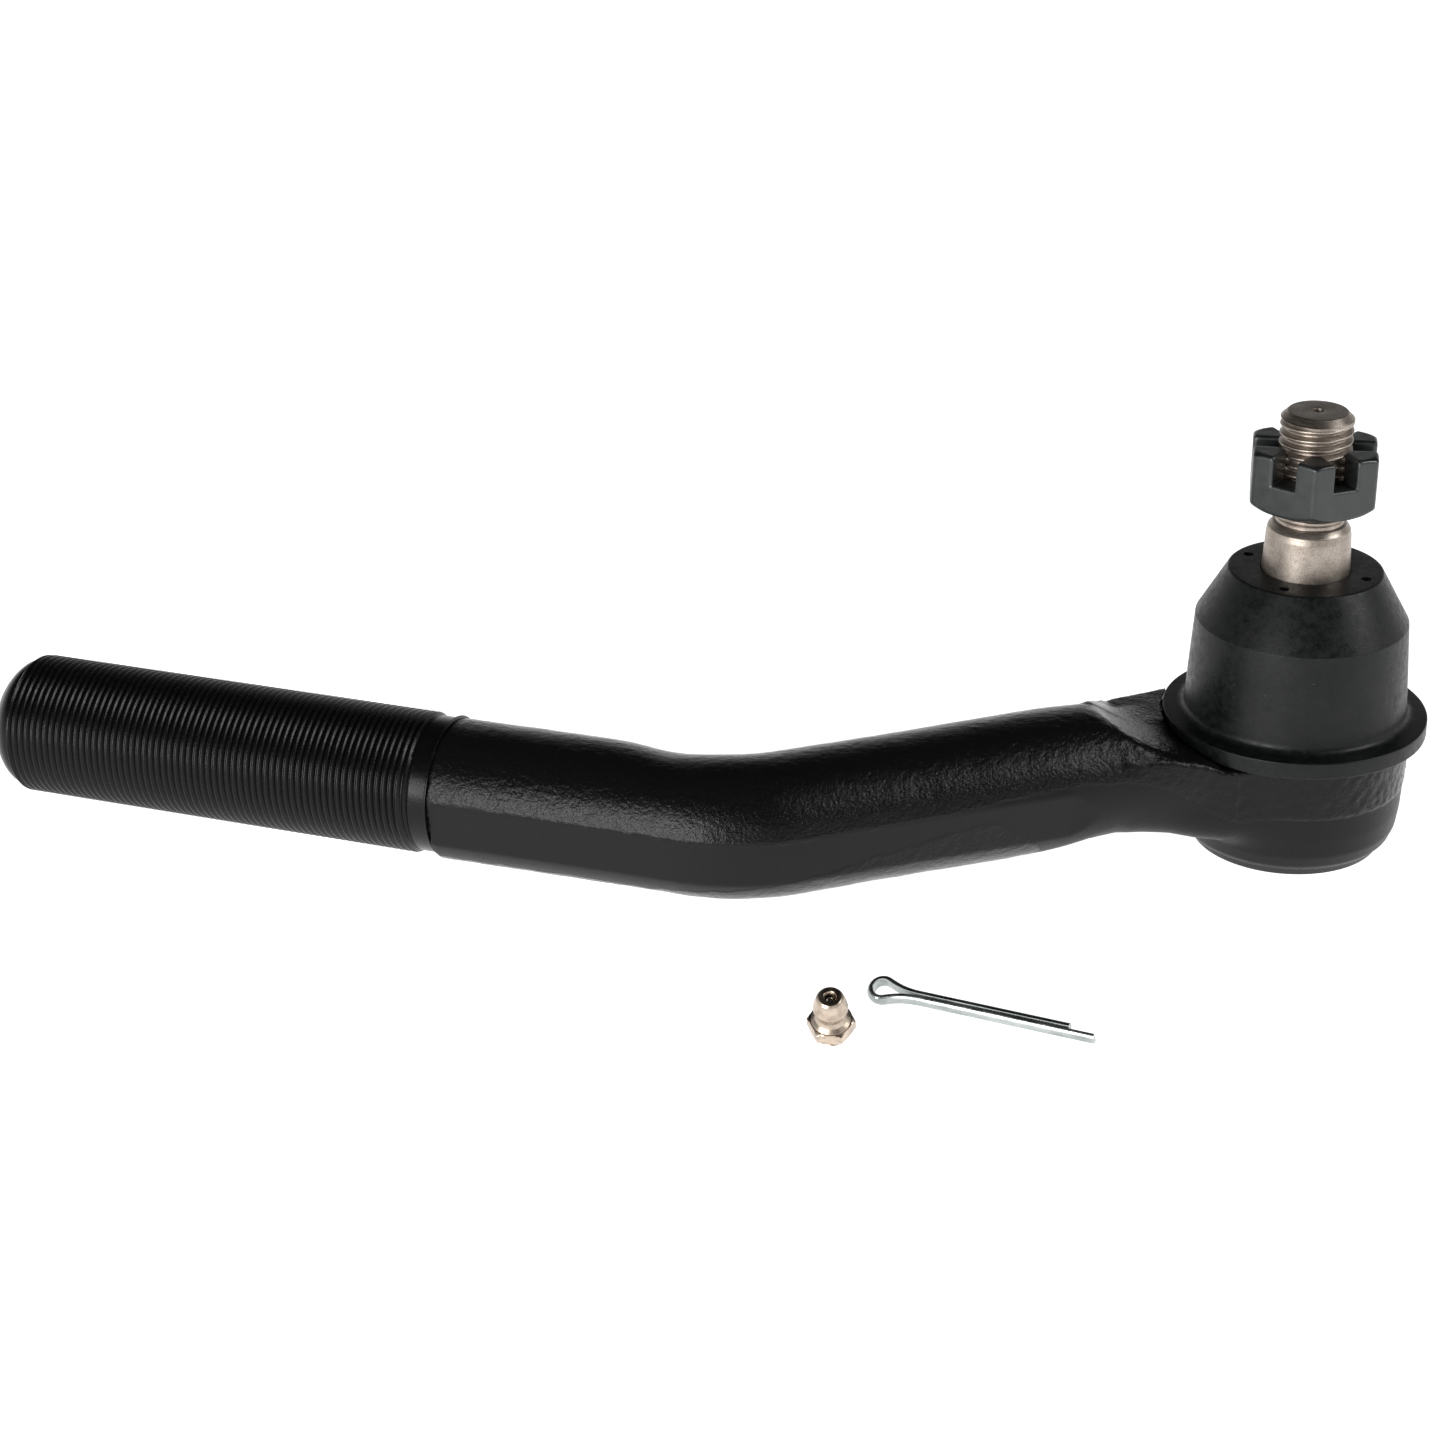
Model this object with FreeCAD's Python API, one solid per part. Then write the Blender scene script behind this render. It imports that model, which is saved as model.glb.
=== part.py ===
import FreeCAD, Part
import math
import os

# Bent tie rod end with its castle nut, and the loose grease fitting and cotter pin
# supplied with it.  Lengths are millimetres, angles are degrees.
# The origin is on the ball stud's axis at the underside of the socket.  +Z runs up
# the stud and the threaded end of the shank points along -X.

Vec = FreeCAD.Vector
TURN = 360.0

# Shank: two straight runs joined by a bend that lies level.
SHANK_Z = 24.0
BEND_ANGLE = 38.4
BEND_RADIUS = 30.0
STUD_TO_APEX = 133.9
SHANK_SHOULDER_X = -172.2
SHANK_RELIEF_X = -177.0
SHANK_RELIEF_R = 15.55
SHANK_SHOULDER_R = 15.95
SHANK_BEND_R = 15.7
SHANK_SOCKET_R = 15.45
SHANK_INNER_END = 8.0

# Shank thread, 1-1/4 in by 16 threads per inch, drawn as rings.
SHANK_THREAD_R = 15.875
SHANK_PITCH = 25.4 / 16
SHANK_THREAD_TURNS = 63
DOME_TIP_X = -285.8
DOME_PROFILE = ((0.6, 14.9), (3.4, 13.4), (6.0, 10.6), (7.8, 6.4))

# Flattened web between the shank and the socket, as distances from the stud's axis.
FACET_START = 51.0
FACET_END = 34.0
WEB_TOP_Z = 27.4
WEB_BOTTOM_Z = 11.0
WEB_SOCKET_END, WEB_SOCKET_HALF = 12.0, 22.0
WEB_FRONT_END, WEB_FRONT_HALF = 42.0, 14.6
WEB_BACK_END, WEB_BACK_HALF = 37.0, 20.0
WEB_TIP_END, WEB_TIP_HALF = 48.0, 11.0
UNDERCUT_START = 60.0
UNDERCUT_END = 50.0

# Socket, as (radius, height) pairs from the bottom up.
SOCKET_OUTLINE = (
    (21.2, 0.0), (21.5, 0.3), (21.5, 1.7), (22.3, 1.9), (23.6, 3.4), (24.7, 6.2),
    (25.3, 10.5), (25.9, 19.0), (26.1, 27.2), (22.3, 27.7), (22.3, 34.0), (20.6, 36.0),
)
MOUTH_TOP_R = 15.3
MOUTH_LOW_R = 12.1
MOUTH_LOW_Z = 27.6
SOCKET_BORE_R = 17.5
SOCKET_LIP_R = 17.6
COVER_POCKET_R = 19.0
COVER_LOW_Z = 1.2
COVER_HIGH_Z = 3.9

# Ball and the two bearing shells round it.
BALL_R = 13.0
BALL_Z = 21.5
BALL_FIT = 0.08
BEARING_GAP = 0.05
BEARING_LOW_Z = 19.4
BEARING_HIGH_Z = 27.3
SEAT_R = 17.1
SEAT_LOW_Z = 7.0
SEAT_HIGH_Z = 18.2
SEAT_GREASE_R = 2.6

# Cover plate and the spring between it and the lower seat.
COVER_BOSS_R = 6.5
COVER_HOLE_R = 2.7
SPRING_WIRE_R = 0.6
SPRING_LARGE_R = 13.0
SPRING_SMALL_R = 7.0
SPRING_COILS = 2.6
SPRING_GAP = 0.1

# Rubber boot, as (radius, height) pairs, with its two steel rings.
BOOT_OUTLINE = (
    (23.4, 28.0), (29.3, 28.0), (29.7, 28.4), (29.7, 31.5), (29.3, 31.9), (26.4, 32.2),
    (25.3, 32.9), (24.9, 33.9), (24.4, 44.0), (23.8, 53.6), (23.4, 54.6), (17.4, 65.7),
    (16.8, 66.2), (10.2, 66.2), (10.2, 59.4), (12.6, 59.4), (12.6, 63.0), (15.2, 63.0),
    (20.6, 53.2), (21.4, 44.0), (22.6, 35.0), (23.4, 34.0),
)
VENT_R = 1.2
VENT_CIRCLE_R = 14.0
VENT_DEPTH = 1.8
VENT_ANGLES = (164.0, -10.0, -100.0)
BASE_RING_IN_R = 22.4
BASE_RING_SLEEVE_R = 23.3
BASE_RING_FLANGE_R = 28.4
BASE_RING_LOW_Z = 28.0
BASE_RING_STEP_Z = 29.0
BASE_RING_HIGH_Z = 33.6
NECK_RING_R = 13.45
NECK_RING_WIRE_R = 0.75
NECK_RING_Z = 61.0

# Ball stud above the ball, as (radius, height) pairs.
STUD_NECK = ((8.2, 34.0), (8.2, 45.0), (9.0, 51.0), (10.1, 56.0), (10.1, 59.0))
STUD_TAPER_TOP = ((9.35, 75.1), (7.4, 77.9), (7.4, 80.7))
STUD_THREAD_R = 7.9375
STUD_PITCH = 25.4 / 12
STUD_THREAD_START = 81.3
STUD_THREAD_TURNS = 9
STUD_TIP_Z = 103.2
STUD_TIP_R = 6.5
STUD_CHAMFER = 1.5
STUD_CENTRE_R = 1.2
STUD_CENTRE_DEPTH = 2.5
COTTER_HOLE_R = 2.0
SLOT_LINE_ANGLE = 10.1

# Castle nut.
NUT_FLATS = 26.99
NUT_LOW_Z = 82.0
NUT_HEIGHT = 13.5
NUT_BORE_R = 8.05
NUT_SLOT_WIDTH = 5.5
NUT_SLOT_DEPTH = 6.4
NUT_LOW_CHAMFER = (2.3, 1.8)
NUT_TOP_CHAMFER = (1.2, 0.6)

# Thread form shared by both threads, as fractions of the pitch.
THREAD_DEPTH = 0.6134
CREST_FLAT = 0.125
ROOT_FLAT = 0.25
THREAD_FLANK = (1 - CREST_FLAT - ROOT_FLAT) / 2

# Loose grease fitting: it leans towards the front on the end of its thread.
FITTING_AT = Vec(-71.2, -124.9, 6.8)
FITTING_LEAN = 23.0
FITTING_HEADING = -78.0
FITTING_FLATS = 8.73
FITTING_HEX_LOW = -3.1
FITTING_THREAD_LOW = -6.0
FITTING_THREAD_R = 3.1
FITTING_HEAD = (
    (4.1, 0.0), (3.3, 0.9), (2.95, 1.7), (2.95, 2.6), (3.4, 3.1), (3.6, 3.8), (3.3, 5.4),
    (2.85, 7.0), (2.4, 7.6),
)
FITTING_TIP_Z = 7.6
FITTING_MOUTH_R = 1.0
FITTING_BORE_R = 1.4
FITTING_BORE_TOP = 6.6
CHECK_BALL_R = 1.25
CHECK_BALL_Z = 5.45
CHECK_SPRING_WIRE_R = 0.14
CHECK_SPRING_R = 0.85
CHECK_SPRING_LOW = -5.5
CHECK_SPRING_PITCH = 0.8

# Loose cotter pin, drawn along +X from its eye and then laid down.
PIN_EYE_AT = Vec(-69.7, -102.6, 2.1)
PIN_HEADING = -4.9
PIN_ROLL = 30.0
PIN_WIRE_R = 1.55
PIN_SPLIT = 0.3
PIN_EYE_R = 3.1
PIN_EYE_WALL = 1.2
PIN_EYE_LENGTH = 9.4
PIN_SHORT_LENGTH = 44.0
PIN_LONG_LENGTH = 49.6


def revolved(outline):
    """Solid of revolution about Z from a closed run of (radius, height) pairs."""
    points = [Vec(radius, 0, height) for radius, height in outline]
    face = Part.Face(Part.makePolygon(points + [points[0]]))
    return face.revolve(Vec(0, 0, 0), Vec(0, 0, 1), TURN)


def cylinder(radius, low, high):
    return Part.makeCylinder(radius, high - low, Vec(0, 0, low))


def ball(radius, height):
    return Part.makeSphere(radius, Vec(0, 0, height))


def thread_rings(start, major_r, pitch, turns):
    """Ring grooves of a 60 degree thread, as (radius, height) pairs going up."""
    root_r = major_r - THREAD_DEPTH * pitch
    flank = THREAD_FLANK * pitch
    outline = []
    for turn in range(turns):
        low = start + turn * pitch
        outline.append((root_r, low))
        outline.append((major_r, low + flank))
        outline.append((major_r, low + flank + CREST_FLAT * pitch))
        outline.append((root_r, low + 2 * flank + CREST_FLAT * pitch))
    outline.append((root_r, start + turns * pitch))
    return outline


def hexagon(flats, low, high):
    """Hexagonal prism with one corner on +X."""
    corner_r = flats / math.sqrt(3)
    corners = []
    for index in range(7):
        angle = math.radians(60 * index)
        corners.append(Vec(corner_r * math.cos(angle), corner_r * math.sin(angle), low))
    return Part.Face(Part.makePolygon(corners)).extrude(Vec(0, 0, high - low))


def coil(low, height, start_r, end_r, coils, wire_r):
    """Round wire wound from one radius to another on the way up."""
    cone_angle = math.degrees(math.atan2(end_r - start_r, height))
    helix = Part.makeHelix(height / coils, height, start_r, cone_angle)
    start = Vec(start_r, 0, 0)
    circle = Part.Wire(Part.makeCircle(wire_r, start, Vec(0, 1, 0)))
    wire = Part.Wire(helix).makePipeShell([circle], True, True)
    wire.translate(Vec(0, 0, low))
    return wire


def threaded_run():
    """Thread, smooth relief and domed tip, built up Z and then laid along -X."""
    thread_length = SHANK_THREAD_TURNS * SHANK_PITCH
    relief = SHANK_SHOULDER_X - SHANK_RELIEF_X
    outline = [(0, -1.0), (SHANK_RELIEF_R, -1.0), (SHANK_RELIEF_R, relief)]
    outline += thread_rings(relief, SHANK_THREAD_R, SHANK_PITCH, SHANK_THREAD_TURNS)
    for rise, radius in DOME_PROFILE:
        outline.append((radius, relief + thread_length + rise))
    outline.append((0, SHANK_SHOULDER_X - DOME_TIP_X))
    run = revolved(outline)
    run.rotate(Vec(0, 0, 0), Vec(0, 1, 0), -90)
    apex_y = -STUD_TO_APEX * math.sin(math.radians(BEND_ANGLE))
    run.translate(Vec(SHANK_SHOULDER_X, apex_y, SHANK_Z))
    return run


def shank_direction():
    angle = math.radians(BEND_ANGLE)
    return Vec(-math.cos(angle), -math.sin(angle), 0)


def shank():
    """Outer run, level bend and inner run of the forged shank."""
    along = shank_direction()
    apex = along * STUD_TO_APEX + Vec(0, 0, SHANK_Z)
    tangent = BEND_RADIUS * math.tan(math.radians(BEND_ANGLE / 2))
    bend_start = apex - along * tangent
    bend_end = apex + Vec(-tangent, 0, 0)
    centre = bend_start + Vec(along.y, -along.x, 0) * BEND_RADIUS
    section = Part.Face(Part.Wire(Part.makeCircle(SHANK_BEND_R, bend_start, along)))
    bend = section.revolve(centre, Vec(0, 0, 1), -BEND_ANGLE)
    shoulder = Vec(SHANK_SHOULDER_X, apex.y, SHANK_Z)
    outer = Part.makeCone(
        SHANK_SHOULDER_R, SHANK_BEND_R, bend_end.x - shoulder.x, shoulder, Vec(1, 0, 0))
    inner_length = STUD_TO_APEX - tangent - SHANK_INNER_END
    inner = Part.makeCone(
        SHANK_BEND_R, SHANK_SOCKET_R, inner_length, bend_start, along * -1)
    return outer.fuse([bend, trimmed_inner(inner)])


def side_prism(outline):
    """Wide prism from (distance from the stud, height) pairs beside the inner run."""
    half_width = 40.0
    along = shank_direction()
    across = Vec(-along.y, along.x, 0)
    points = [along * out + Vec(0, 0, height) - across * half_width
              for out, height in outline]
    face = Part.Face(Part.makePolygon(points + [points[0]]))
    return face.extrude(across * (2 * half_width))


def trimmed_inner(inner):
    """Inner run with the facet planed off its top and the undercut off its bottom."""
    crest = SHANK_Z + SHANK_BEND_R
    keel = SHANK_Z - SHANK_BEND_R
    above = side_prism((
        (0, WEB_TOP_Z), (FACET_END, WEB_TOP_Z), (FACET_START, crest),
        (FACET_START, crest + 5), (0, crest + 5)))
    below = side_prism((
        (0, WEB_BOTTOM_Z), (UNDERCUT_END, WEB_BOTTOM_Z), (UNDERCUT_START, keel),
        (UNDERCUT_START, keel - 5), (0, keel - 5)))
    return inner.cut(above).cut(below)


def web():
    """Flat web that spreads from the shank to the socket, wider on the bend's inner side."""
    along = shank_direction()
    across = Vec(-along.y, along.x, 0)
    corners = (
        (WEB_TIP_END, -WEB_TIP_HALF), (WEB_FRONT_END, WEB_FRONT_HALF),
        (WEB_SOCKET_END, WEB_SOCKET_HALF), (WEB_SOCKET_END, -WEB_SOCKET_HALF),
        (WEB_BACK_END, -WEB_BACK_HALF))
    base = Vec(0, 0, WEB_BOTTOM_Z)
    points = [along * out + across * side + base for out, side in corners]
    face = Part.Face(Part.makePolygon(points + [points[0]]))
    block = face.extrude(Vec(0, 0, WEB_TOP_Z - WEB_BOTTOM_Z))
    upright = [edge for edge in block.Edges
               if abs(edge.tangentAt(edge.FirstParameter).z) < 0.5
               and abs(edge.tangentAt(edge.FirstParameter).dot(across)) < 0.9]
    return block.makeFillet(4.0, upright)


def socket_cavity():
    """Everything the socket holds: cover pocket, bearing bore and flared mouth."""
    mouth_top = SOCKET_OUTLINE[-1][1]
    return revolved((
        (0, -1.0), (SOCKET_LIP_R, -1.0), (SOCKET_LIP_R, COVER_LOW_Z),
        (COVER_POCKET_R, COVER_LOW_Z), (COVER_POCKET_R, COVER_HIGH_Z),
        (SOCKET_BORE_R, COVER_HIGH_Z), (SOCKET_BORE_R, MOUTH_LOW_Z),
        (MOUTH_LOW_R, MOUTH_LOW_Z), (MOUTH_TOP_R, mouth_top), (MOUTH_TOP_R, mouth_top + 1),
        (0, mouth_top + 1)))


def forged_housing():
    socket = revolved(((0, 0),) + SOCKET_OUTLINE + ((0, SOCKET_OUTLINE[-1][1]),))
    body = socket.fuse([web(), shank(), threaded_run()])
    return body.cut(socket_cavity()).removeSplitter()


def upper_bearing():
    shell_r = SOCKET_BORE_R - BEARING_GAP
    block = cylinder(shell_r, BEARING_LOW_Z, BEARING_HIGH_Z)
    return block.cut(ball(BALL_R + BALL_FIT, BALL_Z))


def lower_bearing_seat():
    block = cylinder(SEAT_R, SEAT_LOW_Z, SEAT_HIGH_Z)
    block = block.cut(ball(BALL_R + BALL_FIT, BALL_Z))
    return block.cut(cylinder(SEAT_GREASE_R, 0, BALL_Z))


def preload_spring():
    low = COVER_HIGH_Z + SPRING_WIRE_R
    height = SEAT_LOW_Z - SPRING_GAP - SPRING_WIRE_R - low
    return coil(low, height, SPRING_LARGE_R, SPRING_SMALL_R, SPRING_COILS, SPRING_WIRE_R)


def cover_plate():
    edge_r = COVER_POCKET_R - BEARING_GAP
    plate = revolved((
        (0, 0), (COVER_BOSS_R, 0), (COVER_BOSS_R + 1.2, COVER_LOW_Z),
        (edge_r, COVER_LOW_Z), (edge_r, COVER_HIGH_Z), (0, COVER_HIGH_Z)))
    return plate.cut(cylinder(COVER_HOLE_R, -1, COVER_HIGH_Z + 1))


def dust_boot():
    boot = revolved(BOOT_OUTLINE).cut(boot_base_ring())
    top = BOOT_OUTLINE[13][1]
    for angle in VENT_ANGLES:
        vent = cylinder(VENT_R, top - VENT_DEPTH, top + 1)
        vent.translate(Vec(VENT_CIRCLE_R, 0, 0))
        vent.rotate(Vec(0, 0, 0), Vec(0, 0, 1), angle)
        boot = boot.cut(vent)
    return boot


def boot_base_ring():
    return revolved((
        (BASE_RING_IN_R, BASE_RING_LOW_Z), (BASE_RING_FLANGE_R, BASE_RING_LOW_Z),
        (BASE_RING_FLANGE_R, BASE_RING_STEP_Z), (BASE_RING_SLEEVE_R, BASE_RING_STEP_Z),
        (BASE_RING_SLEEVE_R, BASE_RING_HIGH_Z), (BASE_RING_IN_R, BASE_RING_HIGH_Z)))


def boot_neck_ring():
    return Part.makeTorus(NECK_RING_R, NECK_RING_WIRE_R, Vec(0, 0, NECK_RING_Z))


def slot_direction():
    angle = math.radians(SLOT_LINE_ANGLE)
    return Vec(math.cos(angle), math.sin(angle), 0)


def ball_stud():
    """Ball, neck, seating taper and threaded end with its cross hole."""
    thread = thread_rings(STUD_THREAD_START, STUD_THREAD_R, STUD_PITCH, STUD_THREAD_TURNS)
    outline = [(0, BALL_Z), (STUD_NECK[0][0], BALL_Z)]
    outline += list(STUD_NECK) + list(STUD_TAPER_TOP) + thread
    last_crest_z = thread[-1][1] + THREAD_FLANK * STUD_PITCH
    outline += [(STUD_THREAD_R, last_crest_z), (STUD_THREAD_R, STUD_TIP_Z - STUD_CHAMFER)]
    outline += [(STUD_TIP_R, STUD_TIP_Z), (0, STUD_TIP_Z)]
    stud = revolved(outline).fuse(ball(BALL_R, BALL_Z))
    centre = cylinder(STUD_CENTRE_R, STUD_TIP_Z - STUD_CENTRE_DEPTH, STUD_TIP_Z + 1)
    across = slot_direction()
    hole_z = NUT_LOW_Z + NUT_HEIGHT - NUT_SLOT_DEPTH / 2
    start = across * (-2 * STUD_THREAD_R) + Vec(0, 0, hole_z)
    hole = Part.makeCylinder(COTTER_HOLE_R, 4 * STUD_THREAD_R, start, across)
    return stud.cut(centre).cut(hole)


def castle_nut():
    """Six-slotted nut with its corners eased top and bottom."""
    top = NUT_LOW_Z + NUT_HEIGHT
    corner_r = NUT_FLATS / math.sqrt(3) + 0.05
    blank = hexagon(NUT_FLATS, NUT_LOW_Z, top)
    low_in, low_up = NUT_LOW_CHAMFER
    top_in, top_down = NUT_TOP_CHAMFER
    easing = revolved((
        (0, NUT_LOW_Z), (corner_r - low_in, NUT_LOW_Z), (corner_r, NUT_LOW_Z + low_up),
        (corner_r, top - top_down), (corner_r - top_in, top), (0, top)))
    blank = blank.common(easing).cut(cylinder(NUT_BORE_R, NUT_LOW_Z - 1, top + 1))
    for index in range(3):
        slot = Part.makeBox(
            3 * NUT_FLATS, NUT_SLOT_WIDTH, NUT_SLOT_DEPTH + 1,
            Vec(-1.5 * NUT_FLATS, -NUT_SLOT_WIDTH / 2, top - NUT_SLOT_DEPTH))
        slot.rotate(Vec(0, 0, 0), Vec(0, 0, 1), 30 + 60 * index)
        blank = blank.cut(slot)
    blank.rotate(Vec(0, 0, 0), Vec(0, 0, 1), SLOT_LINE_ANGLE - 30)
    return blank


def placed_fitting(shape):
    """Stands a fitting piece, drawn with its hexagon's top at z = 0, where it lies."""
    shape.rotate(Vec(0, 0, 0), Vec(0, 1, 0), FITTING_LEAN)
    shape.rotate(Vec(0, 0, 0), Vec(0, 0, 1), FITTING_HEADING)
    shape.translate(FITTING_AT)
    return shape


def grease_fitting_body():
    hexagonal = hexagon(FITTING_FLATS, FITTING_HEX_LOW, 0)
    hexagonal.rotate(Vec(0, 0, 0), Vec(0, 0, 1), 30)
    head = revolved(((0, 0),) + FITTING_HEAD + ((0, FITTING_TIP_Z),))
    stem = cylinder(FITTING_THREAD_R, FITTING_THREAD_LOW, FITTING_HEX_LOW)
    bore = cylinder(FITTING_BORE_R, FITTING_THREAD_LOW - 1, FITTING_BORE_TOP)
    mouth = cylinder(FITTING_MOUTH_R, FITTING_BORE_TOP - 0.1, FITTING_TIP_Z + 1)
    body = hexagonal.fuse([head, stem]).cut(bore).cut(mouth)
    return placed_fitting(body)


def grease_fitting_ball():
    return placed_fitting(ball(CHECK_BALL_R, CHECK_BALL_Z))


def grease_fitting_spring():
    top = CHECK_BALL_Z - CHECK_BALL_R - CHECK_SPRING_WIRE_R - 0.05
    height = top - CHECK_SPRING_LOW
    helix = Part.makeHelix(CHECK_SPRING_PITCH, height, CHECK_SPRING_R)
    circle = Part.Wire(Part.makeCircle(
        CHECK_SPRING_WIRE_R, Vec(CHECK_SPRING_R, 0, 0), Vec(0, 1, 0)))
    wire = Part.Wire(helix).makePipeShell([circle], True, True)
    wire.translate(Vec(0, 0, CHECK_SPRING_LOW))
    return placed_fitting(wire)


def cotter_pin():
    """Half-round wire doubled back on itself: an eye and two legs of unequal length."""
    top = Vec(0, 0, PIN_WIRE_R)
    eye_centre = Vec(PIN_EYE_R, 0, -PIN_WIRE_R)
    neck = PIN_EYE_LENGTH
    depth = Vec(0, 0, 2 * PIN_WIRE_R)
    outer = Part.makeCylinder(PIN_EYE_R, depth.z, eye_centre)
    outer = outer.fuse(drop_wedge(PIN_EYE_R, PIN_WIRE_R, neck, depth))
    inner_r = PIN_EYE_R - PIN_EYE_WALL
    inner = Part.makeCylinder(inner_r, 2 * depth.z, eye_centre - top)
    inner = inner.fuse(drop_wedge(inner_r, PIN_SPLIT / 2, neck - 1.5, depth))
    legs = Part.makeCylinder(PIN_WIRE_R, PIN_LONG_LENGTH - neck + 1,
                             Vec(neck - 1, 0, 0), Vec(1, 0, 0))
    split = Part.makeBox(PIN_LONG_LENGTH, PIN_SPLIT, 2 * depth.z,
                         Vec(neck - 2, -PIN_SPLIT / 2, -depth.z))
    short = Part.makeBox(PIN_LONG_LENGTH, depth.z, 2 * depth.z,
                         Vec(PIN_SHORT_LENGTH, 0, -depth.z))
    pin = outer.fuse(legs).cut(inner).cut(split).cut(short)
    pin.rotate(Vec(0, 0, 0), Vec(1, 0, 0), PIN_ROLL)
    pin.rotate(Vec(0, 0, 0), Vec(0, 0, 1), PIN_HEADING)
    pin.translate(PIN_EYE_AT)
    return pin


def drop_wedge(wide, narrow, reach, depth):
    """Wedge that runs from the eye's width down to the legs' width."""
    start = PIN_EYE_R
    points = [Vec(start, -wide, 0), Vec(reach, -narrow, 0), Vec(reach, narrow, 0),
              Vec(start, wide, 0)]
    points = [point - depth * 0.5 for point in points]
    return Part.Face(Part.makePolygon(points + [points[0]])).extrude(depth)


SUB_PARTS = (
    forged_housing, upper_bearing, lower_bearing_seat, preload_spring, cover_plate,
    dust_boot, boot_base_ring, boot_neck_ring, ball_stud, castle_nut,
    grease_fitting_body, grease_fitting_ball, grease_fitting_spring, cotter_pin,
)

os.makedirs("parts", exist_ok=True)
for build in SUB_PARTS:
    shape = build()
    shape.exportStep("parts/" + build.__name__ + ".step")
    print(build.__name__, len(shape.Solids), round(shape.Volume, 1), shape.isValid())
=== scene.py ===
import math

import bmesh
import bpy
import numpy as np
from mathutils import Matrix, Vector


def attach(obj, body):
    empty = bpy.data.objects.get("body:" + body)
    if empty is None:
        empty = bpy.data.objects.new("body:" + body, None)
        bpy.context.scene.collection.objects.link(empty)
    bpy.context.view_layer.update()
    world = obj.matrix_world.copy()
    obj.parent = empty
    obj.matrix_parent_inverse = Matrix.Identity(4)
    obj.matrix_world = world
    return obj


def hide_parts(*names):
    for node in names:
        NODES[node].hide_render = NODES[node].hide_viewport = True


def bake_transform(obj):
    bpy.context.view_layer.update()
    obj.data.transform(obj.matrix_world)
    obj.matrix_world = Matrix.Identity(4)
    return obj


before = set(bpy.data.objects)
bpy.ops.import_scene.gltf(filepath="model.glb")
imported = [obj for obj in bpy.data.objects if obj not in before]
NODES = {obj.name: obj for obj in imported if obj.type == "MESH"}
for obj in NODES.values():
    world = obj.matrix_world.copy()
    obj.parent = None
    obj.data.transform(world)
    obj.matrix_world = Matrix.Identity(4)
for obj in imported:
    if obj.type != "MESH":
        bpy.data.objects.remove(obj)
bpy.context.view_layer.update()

# Lengths in this file are millimetres unless a name ends in _m; meshes are written in metres.
MM = 0.001

# Camera: degrees round the part, millimetres, and the lens for a 36 mm sensor.
CAMERA_AZIMUTH = 19.256
CAMERA_ELEVATION = 25.431
CAMERA_ROLL = -0.343
CAMERA_DISTANCE = 718.5
CAMERA_SHIFT = (130.27, -25.23)
CAMERA_LENS = 77.18

# Shank path, the same as the CAD's.
SHANK_Z = 24.0
BEND = math.radians(38.4)
BEND_RADIUS = 30.0
STUD_TO_APEX = 133.9
SHOULDER_X = -172.2
SHOULDER_R = 15.78
BEND_R = 15.7
SOCKET_END_R = 15.45
TANGENT = BEND_RADIUS * math.tan(BEND / 2)
ALONG = np.array([-math.cos(BEND), -math.sin(BEND)])
ACROSS = np.array([math.sin(BEND), -math.cos(BEND)])
APEX = ALONG * STUD_TO_APEX
BEND_START = APEX - ALONG * TANGENT
BEND_END = APEX + np.array([-TANGENT, 0.0])
BEND_CENTRE = BEND_START + np.array([ALONG[1], -ALONG[0]]) * BEND_RADIUS
STRAIGHT_LENGTH = STUD_TO_APEX - TANGENT
TO_BEND_END = STRAIGHT_LENGTH + BEND_RADIUS * BEND
SHANK_LENGTH = 232

# Shank radius at distances from the stud's axis.
RADIUS_AT = (0, 50, 62, 76, 95, STRAIGHT_LENGTH, TO_BEND_END, SHANK_LENGTH)
RADIUS = (SOCKET_END_R, 15.5, 15.95, 15.9, 15.65, BEND_R, BEND_R, SHOULDER_R)

# The forging hangs this far below the thread's axis at the shoulder, less further on.
FORGING_DROP = 0.55
DROP_LEFT = 0.1
DROP_REACH = 45
SHOULDER_CUT = 0.3

# Die draft above the parting line and the strip where the flash was trimmed off below it.
# Both fade out towards the web.
DRAFT_ANGLE = math.radians(20)
TRIM_ANGLE = math.radians(8)
TRIM_DEPTH = 0.88
TRIM_BLEND = 0.12
FADE_START = 62.0
FADE_LENGTH = 14.0
FADE_LIFT = 2.0

# Shallow dip over the inner side of the bend.
DIP_DEPTH = 1.35
DIP_AT = 150.0
DIP_REACH = 8.0
DIP_UP = 0.9
DIP_SIDE = 0.43

# Web between shank and socket: heights and half widths at distances from the stud's axis.
CREST_Z = 39.45
FACET_START = 50.5
FACET_SLOPE = 0.70
WEB_TOP_AT = (26, 30, 38, 60)
WEB_TOP_Z = (27.6, 29.2, 30.9, 31.5)
WEB_FAR_TOP_AT = (24, 38, 48.5, 60)
WEB_FAR_TOP_Z = (31.0, 31.1, 37.6, 37.6)
WEB_UNDER_AT = (24, 30, 36, 43, 49, 55, 60, 68, 90)
WEB_UNDER_Z = (8.0, 9.0, 10.7, 11.9, 12.5, 11.4, 9.8, 7.4, 4.0)
WEB_FAR_AT = (6, 20, 30, 36, 38, 40, 42, 44, 46, 48, 51, 54)
WEB_FAR_HALF = (22.5, 21.8, 20.9, 20.4, 19.8, 18.2, 15.9, 13.2, 10.9, 8.6, 5.0, 3.0)
WEB_NEAR_AT = (6, 14, 22, 30, 38, 46, 54)
WEB_NEAR_HALF = (22.5, 20.8, 18.2, 16.2, 14.8, 13.6, 11.0)
WEB_START = 5.0
WEB_END = 54.0
WEB_CUT_END = 90
OUTSIDE_CUT = -9.0
BAR_START = 4.0
SIDE_FADE = 6.0

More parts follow.
